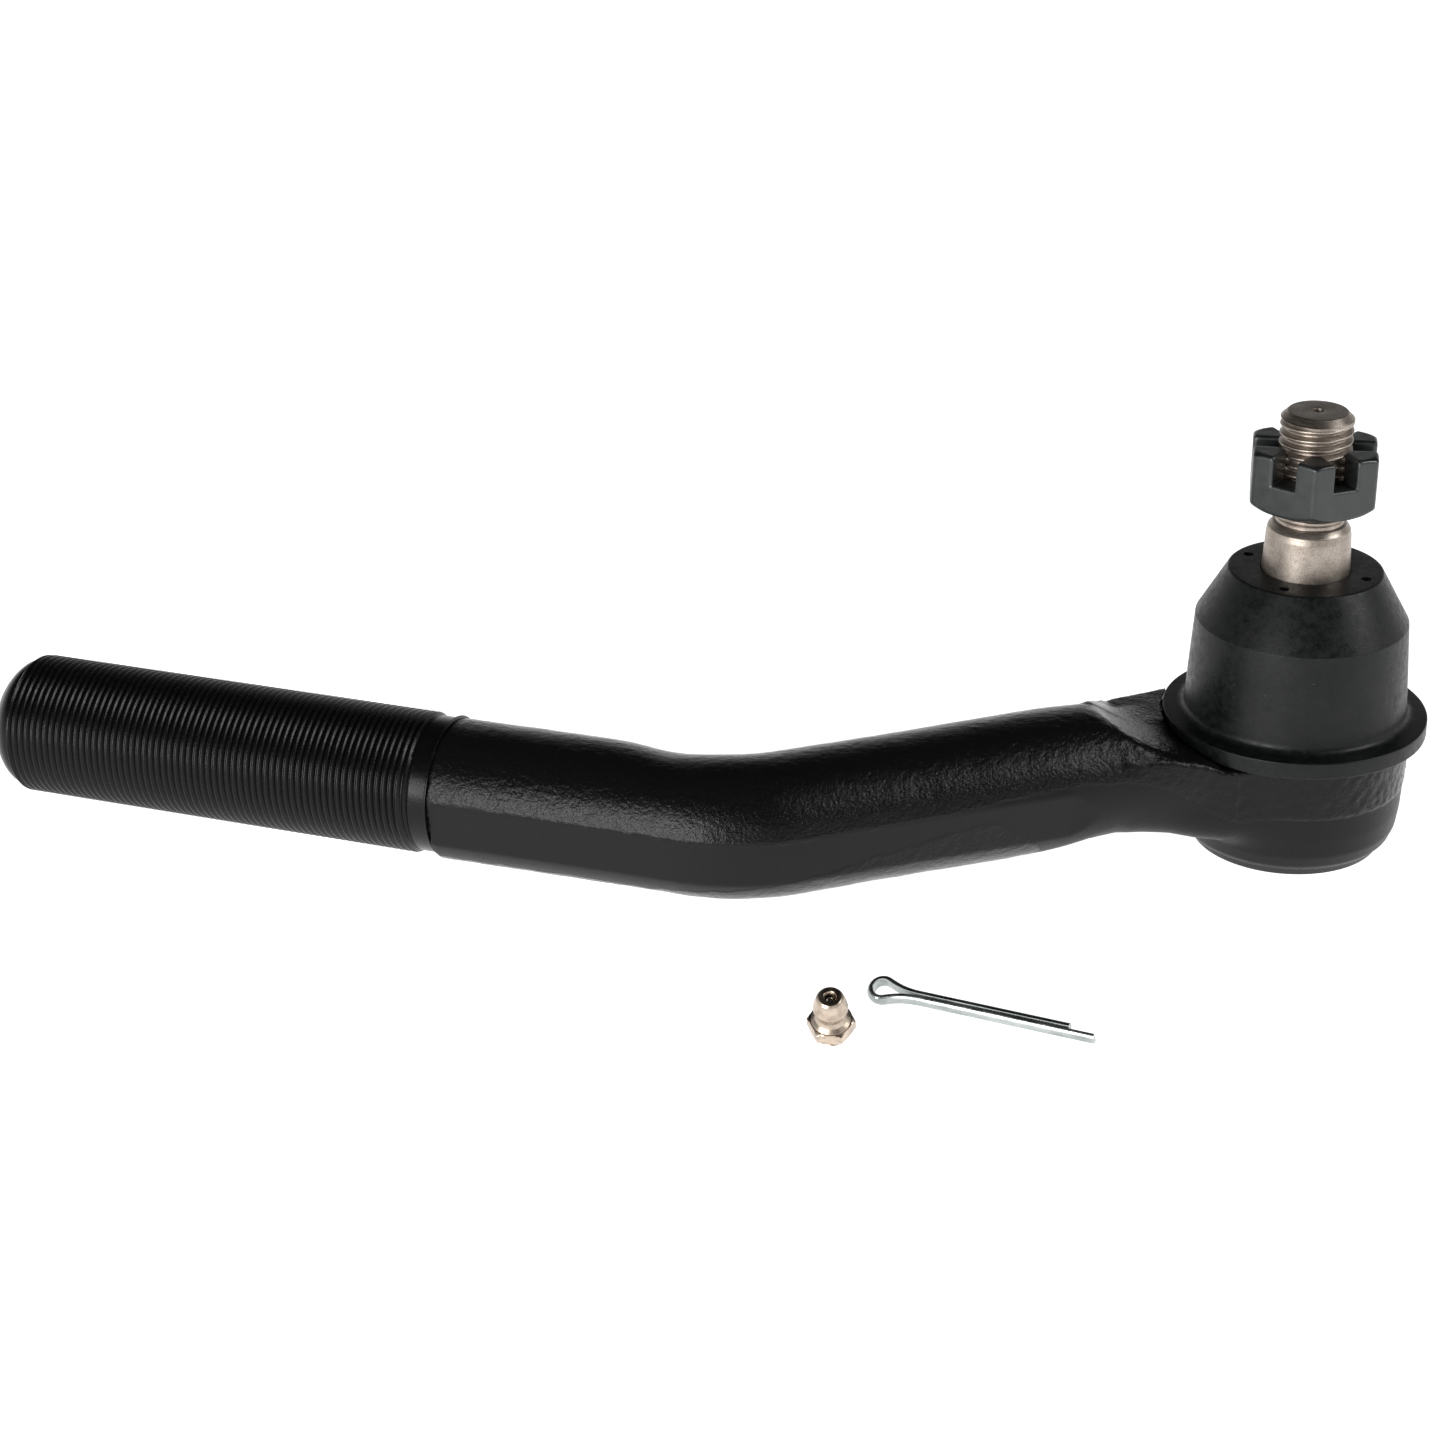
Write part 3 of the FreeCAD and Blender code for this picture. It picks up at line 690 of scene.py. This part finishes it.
def housing_field(points):
    """Signed field of the forging: negative inside the metal."""
    x, y, z = points[:, 0], points[:, 1], points[:, 2]
    side, distance, radius = shank_frame(x, y)
    up = z - SHANK_Z + np.interp(x, (SHOULDER_X, SHOULDER_X + DROP_REACH),
                                 (FORGING_DROP, DROP_LEFT))
    bar = bar_field(side, up, distance, radius)
    along = x * ALONG[0] + y * ALONG[1]
    across = x * ACROSS[0] + y * ACROSS[1]
    rise = CREST_Z - z + FACET_SLOPE * (along - FACET_START)
    facet = rise / -math.hypot(1, FACET_SLOPE)
    flat = z - np.interp(along, WEB_TOP_AT, WEB_TOP_Z)
    top = smooth_min(facet, flat, FACET_BLEND)
    under = np.interp(along, WEB_UNDER_AT, WEB_UNDER_Z) - z
    near_web = along < WEB_CUT_END
    bar = smooth_max(bar, np.where(near_web, top, OUTSIDE_CUT), CUT_TOP_BLEND)
    bar = smooth_max(bar, np.where(near_web, under, OUTSIDE_CUT), CUT_UNDER_BLEND)
    bar = np.maximum(bar, BAR_START - distance)
    web = web_field(along, across, z, flat, under)
    r = np.hypot(x, y)
    socket = np.maximum(r - np.interp(z, SOCKET_OUT_Z, SOCKET_OUT_R), z - SOCKET_TOP_Z)
    body = smooth_min(bar, web, WEB_BLEND)
    body = smooth_min(body, socket, SOCKET_BLEND)
    seat = np.maximum(np.maximum(FLANGE_SEAT_Z - z, r - FLANGE_CLEAR_R), SPIGOT_R - r)
    body = np.maximum(body, -seat)
    cavity = r - np.interp(z, SOCKET_IN_Z, SOCKET_IN_R)
    body = np.maximum(body, -cavity)
    body = np.maximum(body, SHOULDER_X + SHOULDER_CUT - x)
    return np.maximum(body, FORGING_LOW_Z - z)


def sampled(field, low, high, step):
    """Field values on a grid, worked out one slice at a time."""
    counts = np.ceil((high - low) / step).astype(int) + 1
    axes = [low[k] + step * np.arange(counts[k]) for k in range(3)]
    values = np.empty(counts)
    flat_y, flat_z = (part.ravel() for part in np.meshgrid(axes[1], axes[2], indexing="ij"))
    for index, x in enumerate(axes[0]):
        slab = np.stack([np.full(flat_y.shape, x), flat_y, flat_z], axis=1)
        values[index] = field(slab).reshape(counts[1], counts[2])
    return values


def surface_nets(values, low, step):
    """Vertices and quads on the zero surface of a sampled field."""
    shape = np.array(values.shape) - 1
    strides = np.array([shape[1] * shape[2], shape[2], 1])
    total = int(shape.prod())
    sums, count = np.zeros((total, 3)), np.zeros(total)
    quads = []
    for axis in range(3):
        u, v = (axis + 1) % 3, (axis + 2) % 3
        head = [slice(None)] * 3
        tail = [slice(None)] * 3
        head[axis], tail[axis] = slice(0, -1), slice(1, None)
        first, second = values[tuple(head)], values[tuple(tail)]
        cells = np.argwhere((first < 0) != (second < 0))
        cells = cells[(cells[:, u] > 0) & (cells[:, v] > 0)
                      & (cells[:, u] < shape[u]) & (cells[:, v] < shape[v])]
        a = first[tuple(cells.T)]
        b = second[tuple(cells.T)]
        place = cells.astype(float)
        place[:, axis] += a / (a - b)
        corners = []
        for du, dv in ((0, 0), (1, 0), (1, 1), (0, 1)):
            cell = cells.copy()
            cell[:, u] -= du
            cell[:, v] -= dv
            flat = cell @ strides
            corners.append(flat)
            for k in range(3):
                sums[:, k] += np.bincount(flat, place[:, k], total)
            count += np.bincount(flat, minlength=total)
        quad = np.stack(corners, axis=1)
        quad[a > 0] = quad[a > 0][:, ::-1]
        quads.append(quad)
    quads = np.concatenate(quads)
    used = np.flatnonzero(count)
    index = np.full(total, -1)
    index[used] = np.arange(len(used))
    vertices = low + step * sums[used] / count[used][:, None]
    return vertices, index[quads]


def field_gradient(field, points, reach=0.05):
    slopes = []
    for k in range(3):
        shift = np.zeros(3)
        shift[k] = reach
        slopes.append((field(points + shift) - field(points - shift)) / (2 * reach))
    return np.stack(slopes, axis=1)


def settle(field, points, passes=3, limit=0.25):
    """Moves points onto the field's zero surface by short steps."""
    for _ in range(passes):
        slope = field_gradient(field, points)
        size = np.maximum((slope ** 2).sum(axis=1), 0.3)
        step = -field(points)[:, None] * slope / size[:, None]
        length = np.maximum(np.linalg.norm(step, axis=1), 1e-9)
        points = points + step * np.minimum(1, limit / length)[:, None]
    return points


def wave_noise(points, wavelength, seed):
    """Smooth lumps from a sum of plane waves in random directions."""
    random = np.random.default_rng(seed)
    total = np.zeros(len(points))
    for _ in range(BUMP_WAVES):
        direction = random.normal(size=3)
        direction /= np.linalg.norm(direction)
        turns = 2 * math.pi / (wavelength * random.uniform(0.7, 1.5))
        total += np.sin(points @ direction * turns + random.uniform(0, 2 * math.pi))
    return total / math.sqrt(BUMP_WAVES)


def ground_zone(points):
    """1 on the smooth strip where the flash was trimmed off, 0 on the forged skin."""
    _, distance, _ = shank_frame(points[:, 0], points[:, 1])
    along = points[:, 0] * ALONG[0] + points[:, 1] * ALONG[1]
    reach = np.where(along < STRIP_LOW_AT[0], along, distance)
    waver = wave_noise(points[:, [0]] * np.ones(3), STRIP_WAVER, BUMP_SEED + 3)
    z = points[:, 2]
    top_z = np.interp(reach, STRIP_TOP_AT, STRIP_TOP_Z)
    low_z = np.interp(reach, STRIP_LOW_AT, STRIP_LOW_Z)
    upper = np.clip((top_z + 0.12 * waver - z) / 0.3, 0, 1)
    lower = np.clip((z - low_z + 0.3 * waver) / 0.5, 0, 1)
    return upper * lower


def skin_height(points):
    """Height of the forged skin's lumps, pits and seam, none on the trimmed strip."""
    x, y, z = points[:, 0], points[:, 1], points[:, 2]
    r = np.hypot(x, y)
    across = x * ACROSS[0] + y * ACROSS[1]
    along = x * ALONG[0] + y * ALONG[1]
    near_side = np.clip(across / SIDE_FADE, 0, 1)
    pitted = np.clip((PIT_START_R - r) / PIT_FADE, 0, 1) * near_side
    lumps = (LUMP_HEIGHT + PIT_HEIGHT * pitted) * wave_noise(points, LUMP_WAVE, BUMP_SEED)
    lumps += SWELL_HEIGHT * wave_noise(points, SWELL_WAVE, BUMP_SEED + 1)
    seam = np.exp(-((along - SEAM_AT) / SEAM_WIDTH) ** 2) * near_side
    lumps += SEAM_HEIGHT * seam * np.clip((z - SEAM_LOW_Z) / 1.0, 0, 1)
    height = lumps * (1 - ground_zone(points))
    height = height * np.clip((x - SHOULDER_X) / SHOULDER_FADE, 0, 1)
    in_socket = (r < 22.6) & (z > 2.2) | (r < 20.5)
    height[in_socket] = 0
    return height


def forged_body():
    values = sampled(housing_field, GRID_LOW, GRID_HIGH, GRID_STEP)
    vertices, quads = surface_nets(values, GRID_LOW, GRID_STEP)
    vertices = settle(housing_field, vertices)
    normal = field_gradient(housing_field, vertices)
    normal /= np.maximum(np.linalg.norm(normal, axis=1), 1e-9)[:, None]
    vertices = vertices + normal * skin_height(vertices)[:, None]
    obj = mesh_object("forged_housing_body", vertices, quads.tolist(), PAINT, 40.0)
    placed_at = np.empty(len(obj.data.vertices) * 3)
    obj.data.vertices.foreach_get("co", placed_at)
    zone = obj.data.attributes.new("ground", "FLOAT", "POINT")
    zone.data.foreach_set("value", ground_zone(placed_at.reshape(-1, 3) / MM))
    return placed(obj, "housing", "forged_housing", slot="black_paint")


def threaded_end():
    """Sunk collar, relief, helical thread and domed tip, laid along -X."""
    root = SHANK_THREAD_R - THREAD_DEPTH * SHANK_PITCH
    length = SHANK_TURNS * SHANK_PITCH
    below = filleted((
        (0, -2.5, 0), (SUNK_COLLAR_R, -2.5, 0), (SUNK_COLLAR_R, -0.5, 0),
        (SHOULDER_R, -0.1, 0.05), (SHOULDER_R, 0.15, 0.1), (SHANK_RELIEF_R, 0.35, 0.25),
        (SHANK_RELIEF_R, SHANK_RELIEF - 0.5, 0.3), (root, SHANK_RELIEF, 0)))
    thread = thread_rows(SHANK_RELIEF, SHANK_TURNS, SHANK_THREAD_R, SHANK_PITCH,
                         THREAD_COLUMNS, 0.6)
    dome = []
    for step in range(1, DOME_STEPS + 1):
        t = math.sin(math.pi / 2 * step / DOME_STEPS)
        dome.append((root * max(0.0, 1 - t ** DOME_POWER) ** (1 / DOME_POWER),
                     SHANK_RELIEF + length + DOME_LENGTH * t))
    points, faces = threaded_solid(below, thread, dome, THREAD_COLUMNS)
    points = np.stack([SHOULDER_X - points[:, 2], APEX[1] + points[:, 1],
                       SHANK_Z + points[:, 0]], axis=1)
    obj = mesh_object("shank_threaded_end", points, faces, THREAD, 50.0)
    return placed(obj, "housing", slot="black_paint")


def rolled_lip():
    """Turned lip rolled over the cover plate round the socket's underside."""
    points, faces = turned_loop(LIP_SECTION, TURNED_COLUMNS)
    obj = mesh_object("socket_rolled_lip", points, faces, SATIN)
    return placed(obj, "housing", slot="black_paint")


# ---------------------------------------------------------------- boot, stud and nut

def dust_boot():
    """Rubber boot with its vent pits."""
    points, faces = turned_loop(BOOT_SECTION, TURNED_COLUMNS, 7)
    obj = mesh_object("dust_boot_skin", points, faces, BOOT)
    for angle in VENT_ANGLES:
        turn = Matrix.Rotation(math.radians(angle), 4, "Z")
        shift = Matrix.Translation((VENT_CIRCLE_R * MM, 0, 0))
        cut(obj, cylinder_object(VENT_R, VENT_LOW_Z, VENT_HIGH_Z, turn @ shift, 24))
    finish_shading(obj, BOOT)
    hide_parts("dust_boot")
    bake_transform(obj)
    return obj


def ball_stud():
    """Ball, neck, taper, thread and centred tip in one turned skin, with the cotter hole."""
    neck_angle = math.asin(NECK_R / BALL_R)
    ball = []
    for step in range(BALL_STEPS + 1):
        angle = math.pi - (math.pi - neck_angle) * step / BALL_STEPS
        ball.append((BALL_R * math.sin(angle), BALL_Z + BALL_R * math.cos(angle)))
    below = ball + filleted(STUD_OUTLINE)[1:]
    thread = thread_rows(STUD_THREAD_START, STUD_TURNS, STUD_THREAD_R, STUD_PITCH,
                         THREAD_COLUMNS, 0.5, STUD_TIP_Z - STUD_CHAMFER)
    above = filleted((
        (STUD_THREAD_R, STUD_TIP_Z - STUD_CHAMFER, 0), (STUD_TIP_R, STUD_TIP_Z, 0.35),
        (1.25, STUD_TIP_Z, 0.1), (1.15, 101.6, 0.1), (0, 100.9, 0)))
    points, faces = threaded_solid(below, thread, above, THREAD_COLUMNS)
    obj = mesh_object("ball_stud_steel", points, faces, STUD, 40.0)
    lay = Matrix.Rotation(SLOT_ANGLE, 4, "Z") @ Matrix.Rotation(math.pi / 2, 4, "Y")
    lift = Matrix.Translation((0, 0, COTTER_HOLE_Z * MM))
    cut(obj, cylinder_object(COTTER_HOLE_R, -COTTER_HOLE_HALF, COTTER_HOLE_HALF, lift @ lay))
    finish_shading(obj, STUD, 40.0)
    return placed(obj, "stud", "ball_stud", slot="stud_steel")


def eased_copy(name, node, body, slot, material, width):
    """The CAD node's own shape with its sharp edges eased."""
    mesh = NODES[node].data.copy()
    obj = bpy.data.objects.new(name, mesh)
    bpy.context.collection.objects.link(obj)
    obj.matrix_world = NODES[node].matrix_world.copy()
    mesh.transform(obj.matrix_world)
    obj.matrix_world = Matrix.Identity(4)
    build = bmesh.new()
    build.from_mesh(mesh)
    bmesh.ops.remove_doubles(build, verts=build.verts, dist=0.003 * MM)
    bmesh.ops.dissolve_limit(build, angle_limit=math.radians(1.0), verts=build.verts,
                             edges=build.edges)
    build.to_mesh(mesh)
    build.free()
    modifier = obj.modifiers.new("eased", "BEVEL")
    modifier.width = width * MM
    modifier.segments = 3
    modifier.limit_method = "ANGLE"
    modifier.angle_limit = math.radians(32.0)
    graph = bpy.context.evaluated_depsgraph_get()
    obj.data = bpy.data.meshes.new_from_object(obj.evaluated_get(graph))
    obj.modifiers.clear()
    finish_shading(obj, material, 38.0)
    return placed(obj, body, node, slot=slot)


def coil_spring(name, node):
    """The CAD node's coil, copied in its place."""
    mesh = NODES[node].data.copy()
    mesh.transform(NODES[node].matrix_world)
    obj = bpy.data.objects.new(name, mesh)
    bpy.context.collection.objects.link(obj)
    finish_shading(obj, SPRING, 38.0)
    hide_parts(node)
    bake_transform(obj)


def nut_field(points):
    """Signed field of the castle nut, with rounded edges."""
    turn = -SLOT_ANGLE
    x = points[:, 0] * math.cos(turn) - points[:, 1] * math.sin(turn)
    y = points[:, 0] * math.sin(turn) + points[:, 1] * math.cos(turn)
    z = points[:, 2]
    r = np.hypot(x, y)
    flats, slots = np.full(len(x), -99.0), np.full(len(x), -99.0)
    for index in range(3):
        a = math.radians(60 * index)
        facing = np.abs(x * math.cos(a) + y * math.sin(a))
        beside = np.abs(y * math.cos(a) - x * math.sin(a))
        flats = smooth_max(flats, facing - NUT_FLATS / 2, 0.7)
        slots = np.maximum(slots, np.minimum(NUT_SLOT_HALF - beside, z - NUT_SLOT_Z))
    body = smooth_max(flats, z - NUT_TOP_Z, 0.9)
    body = smooth_max(body, NUT_LOW_Z - z, 0.5)
    low_r, low_out, low_up = NUT_LOW_CONE
    top_r, top_out, top_up = NUT_TOP_CONE
    low_cone = (r - low_r) * low_out - (z - NUT_LOW_Z) * low_up
    top_cone = (r - top_r) * top_out + (z - NUT_TOP_Z) * top_up
    body = smooth_max(smooth_max(body, low_cone, 0.5), top_cone, 0.5)
    body = smooth_max(body, slots, 0.8)
    return smooth_max(body, NUT_BORE_R - r, 0.4)


def castle_nut():
    reach = NUT_FLATS / math.sqrt(3) + NUT_MARGIN
    low = np.array([-reach, -reach, NUT_LOW_Z - NUT_MARGIN])
    high = np.array([reach, reach, NUT_TOP_Z + NUT_MARGIN])
    vertices, quads = surface_nets(sampled(nut_field, low, high, NUT_STEP), low, NUT_STEP)
    vertices = settle(nut_field, vertices)
    vertices = vertices + 0.012 * wave_noise(vertices, 3.0, BUMP_SEED + 5)[:, None] * (
        field_gradient(nut_field, vertices))
    obj = mesh_object("castle_nut_oxide", vertices, quads.tolist(), OXIDE, 60.0)
    return placed(obj, "nut", "castle_nut", slot="black_oxide")


# ---------------------------------------------------------------- loose fitting and pin

def fitting_matrix():
    place = Matrix.Translation(Vector(FITTING_AT) * MM)
    return (place @ Matrix.Rotation(FITTING_HEADING, 4, "Z")
            @ Matrix.Rotation(FITTING_LEAN, 4, "Y"))


def hexagon_points(corner_r, heights):
    """Chamfered hexagonal prism: rings of (height, inset) with a flat facing +X."""
    rings = []
    steps = 12
    for height, limit in heights:
        ring = []
        for side in range(6):
            a = math.radians(60 * side + 30)
            b = math.radians(60 * side + 90)
            for step in range(steps):
                t = step / steps
                x = corner_r * ((1 - t) * math.cos(a) + t * math.cos(b))
                y = corner_r * ((1 - t) * math.sin(a) + t * math.sin(b))
                scale = min(1.0, limit / math.hypot(x, y))
                ring.append((x * scale, y * scale, height))
        ring.append(ring[0])
        rings += ring
    return rings, grid_faces(len(heights), 6 * steps + 1)


def grease_fitting():
    """Hexagon, turned head and threaded stem, as one piece."""
    corner_r = FITTING_FLATS / math.sqrt(3)
    flat_r = FITTING_FLATS / 2
    hexagon = hexagon_points(corner_r, (
        (FITTING_LOW_FACE, 0.0), (FITTING_LOW_FACE, flat_r - 0.25), (-2.75, flat_r + 0.25),
        (-2.5, corner_r), (-0.4, corner_r), (-0.2, flat_r + 0.35), (0.0, flat_r), (0.0, 0.0)))
    head = turned(filleted(FITTING_HEAD, 6), 72)
    stem = threaded_solid(
        ((0, -6.0), (2.2, -6.0), (FITTING_ROOT_R, FITTING_THREAD_START)),
        thread_rows(FITTING_THREAD_START, 3, FITTING_THREAD_R, FITTING_PITCH, 48, 0.5),
        ((FITTING_ROOT_R, FITTING_THREAD_END), (FITTING_ROOT_R, -2.6), (0, -2.6)), 48)
    points, faces = [], []
    for part_points, part_faces in (hexagon, head, stem):
        offset = len(points)
        points += [tuple(p) for p in part_points]
        faces += [tuple(i + offset for i in face) for face in part_faces]
    obj = mesh_object("grease_fitting_plated", points, faces, NICKEL, 28.0)
    obj.data.transform(fitting_matrix())
    return placed(obj, "grease_fitting", "grease_fitting_body", slot="nickel")


def cotter_path():
    """Line of the wire's inner face, and the outward direction along it."""
    neck, gap, lean = PIN_NECK, PIN_GAP, PIN_EYE_LEAN
    path = [(x, -gap) for x in np.linspace(PIN_LONG_END, neck + 3, 12)]
    touch = (PIN_EYE_X + PIN_EYE_R * math.sin(lean), -PIN_EYE_R * math.cos(lean))
    path += bezier((neck + 3, -gap), (neck - 0.6, -gap), (touch[0] + 2.2, touch[1] + 0.95),
                   touch, 12)[1:]
    start = -math.pi / 2 + lean
    for step in range(1, 40):
        angle = start - (math.pi + 2 * lean) * step / 40
        path.append((PIN_EYE_X + PIN_EYE_R * math.cos(angle), PIN_EYE_R * math.sin(angle)))
    path += bezier((touch[0], -touch[1]), (touch[0] + 2.2, -touch[1] - 0.95),
                   (neck - 0.6, gap), (neck + 3, gap), 12)
    path += [(x, gap) for x in np.linspace(neck + 3, PIN_SHORT_END, 12)[1:]]
    path = np.array(path)
    tangent = np.gradient(path, axis=0)
    tangent /= np.linalg.norm(tangent, axis=1)[:, None]
    outward = np.stack([tangent[:, 1], -tangent[:, 0]], axis=1)
    facing = (outward * (path - (PIN_EYE_X, 0))).sum(axis=1).mean()
    return path, outward * np.sign(facing)


def bezier(a, b, c, d, steps):
    a, b, c, d = (np.array(p, float) for p in (a, b, c, d))
    out = []
    for step in range(steps + 1):
        t = step / steps
        out.append(tuple((1 - t) ** 3 * a + 3 * t * (1 - t) ** 2 * b
                         + 3 * t * t * (1 - t) * c + t ** 3 * d))
    return out


def cotter_pin():
    """Half-round wire swept round the eye and down both legs."""
    path, outward = cotter_path()
    steps, edge, corner = 16, 0.12, PIN_HALF_DEPTH - 0.15
    section = []
    for step in range(steps + 1):
        angle = math.pi * step / steps - math.pi / 2
        bulge = edge if step in (0, steps) else PIN_WALL * math.cos(angle) ** 0.9
        section.append((bulge, PIN_HALF_DEPTH * math.sin(angle)))
    section += [(0.0, corner), (0.0, 0.0), (0.0, -corner), section[0]]
    count = len(section)
    first_end = np.array([path[0][0], path[0][1] - 0.5, 0.0])
    last_end = np.array([path[-1][0], path[-1][1] + 0.5, 0.0])
    rows = [np.repeat(first_end[None], count, axis=0)]
    for (x, y), (ox, oy) in zip(path, outward):
        rows.append(np.array([(x + ox * d, y + oy * d, depth) for d, depth in section]))
    rows.append(np.repeat(last_end[None], count, axis=0))
    obj = mesh_object("cotter_pin_wire", np.concatenate(rows), grid_faces(len(rows), count),
                      ZINC, 35.0)
    place = (Matrix.Translation(Vector(PIN_AT) * MM) @ Matrix.Rotation(PIN_HEADING, 4, "Z")
             @ Matrix.Rotation(PIN_ROLL, 4, "X"))
    obj.data.transform(place)
    return placed(obj, "cotter_pin_body", "cotter_pin", slot="zinc")


# ---------------------------------------------------------------- stage

def camera():
    azimuth, elevation, roll = (math.radians(v) for v in (
        CAMERA_AZIMUTH, CAMERA_ELEVATION, CAMERA_ROLL))
    back = Vector((math.sin(azimuth) * math.cos(elevation),
                   -math.cos(azimuth) * math.cos(elevation), math.sin(elevation)))
    right = Vector((math.cos(azimuth), math.sin(azimuth), 0))
    up = back.cross(right)
    rolled_right = right * math.cos(roll) + up * math.sin(roll)
    rolled_up = up * math.cos(roll) - right * math.sin(roll)
    eye = back * CAMERA_DISTANCE - rolled_right * CAMERA_SHIFT[0] - rolled_up * CAMERA_SHIFT[1]
    data = bpy.data.cameras.new("camera")
    data.lens = CAMERA_LENS
    data.sensor_width = 36.0
    data.clip_start = 0.01
    data.clip_end = 100.0
    obj = bpy.data.objects.new("camera", data)
    bpy.context.collection.objects.link(obj)
    turn = Matrix((rolled_right, rolled_up, back)).transposed().to_4x4()
    obj.matrix_world = Matrix.Translation(eye * MM) @ turn
    bpy.context.scene.camera = obj


def softbox(name, azimuth, elevation, distance_m, size_m, radiance, aim=(-0.12, -0.05, 0.03)):
    """Square soft light; azimuth is measured from the front, right positive."""
    a, e = math.radians(azimuth), math.radians(elevation)
    way = Vector((math.sin(a) * math.cos(e), -math.cos(a) * math.cos(e), math.sin(e)))
    data = bpy.data.lights.new(name, "AREA")
    data.shape, data.size, data.size_y = "RECTANGLE", size_m[0], size_m[1]
    data.energy = radiance * math.pi * size_m[0] * size_m[1]
    obj = bpy.data.objects.new(name, data)
    bpy.context.collection.objects.link(obj)
    obj.location = Vector(aim) + way * distance_m
    obj.rotation_mode = "QUATERNION"
    obj.rotation_quaternion = way.to_track_quat("Z", "Y")


def floor():
    """Large pale sweep of paper under the object, lit from within so it stays even."""
    mesh = bpy.data.meshes.new("floor")
    reach = 12.0
    mesh.from_pydata([(-reach, -reach, 0), (reach, -reach, 0), (reach, reach, 0),
                      (-reach, reach, 0)], [], [(0, 1, 2, 3)])
    material, _, _, main = shader("floor_paper", (0.82, 0.82, 0.82), 0.9, specular=0.1)
    main.inputs["Emission Color"].default_value = (1, 1, 1, 1)
    main.inputs["Emission Strength"].default_value = 1.0
    mesh.materials.append(material)
    obj = bpy.data.objects.new("floor", mesh)
    bpy.context.collection.objects.link(obj)


def room():
    """White near the horizon, dark overhead, as a studio with black flags above."""
    world = bpy.data.worlds.new("studio")
    bpy.context.scene.world = world
    world.use_nodes = True
    nodes, links = world.node_tree.nodes, world.node_tree.links
    source = nodes.new("ShaderNodeTexCoord")
    split = nodes.new("ShaderNodeSeparateXYZ")
    links.new(source.outputs["Generated"], split.inputs["Vector"])
    ramp = nodes.new("ShaderNodeValToRGB")
    horizon, overhead = ramp.color_ramp.elements
    horizon.position = 0.0
    horizon.color = (1, 1, 1, 1)
    overhead.position = 0.42
    overhead.color = (0.02, 0.02, 0.02, 1)
    middle = ramp.color_ramp.elements.new(0.16)
    middle.color = (0.75, 0.75, 0.75, 1)
    links.new(split.outputs["Z"], ramp.inputs["Fac"])
    links.new(ramp.outputs["Color"], nodes["Background"].inputs["Color"])
    nodes["Background"].inputs["Strength"].default_value = 1.0


# ---------------------------------------------------------------- build

PAINT = forging_paint()
THREAD = thread_paint()
SATIN = satin_paint()
BOOT = boot_rubber()
STUD = stud_steel()
OXIDE = black_oxide()
NICKEL = plated("nickel_plate", (0.36, 0.29, 0.23), (0.58, 0.49, 0.4), 0.3)
ZINC = plated("zinc_plate", (0.3, 0.325, 0.32), (0.46, 0.49, 0.48), 0.27, (0.4, 1, 1))
STEEL = plated("bearing_steel", (0.34, 0.33, 0.31), (0.5, 0.48, 0.46), 0.3)
SPRING = plated("spring_steel", (0.16, 0.16, 0.17), (0.26, 0.26, 0.27), 0.35)

forged_body()
threaded_end()
rolled_lip()
dust_boot()
ball_stud()
castle_nut()
eased_copy("cover_plate_pressed", "cover_plate", "housing", "black_plate", SATIN, 0.25)
eased_copy("boot_base_ring_plated", "boot_base_ring", "boot_base", "plated_steel", STEEL, 0.12)
grease_fitting()
cotter_pin()
for node in ("upper_bearing", "lower_bearing_seat", "boot_neck_ring", "grease_fitting_ball"):
    NODES[node].data.materials.clear()
    NODES[node].data.materials.append(STEEL)
coil_spring("preload_spring_coil", "preload_spring")
coil_spring("grease_fitting_spring_coil", "grease_fitting_spring")

camera()
room()
floor()
softbox("left_softbox", -15, 13, 1.1, (0.58, 0.5), 11.0)
softbox("right_softbox", 94, 34, 1.1, (0.34, 0.4), 11.0)
bpy.context.scene.view_settings.view_transform = "Standard"
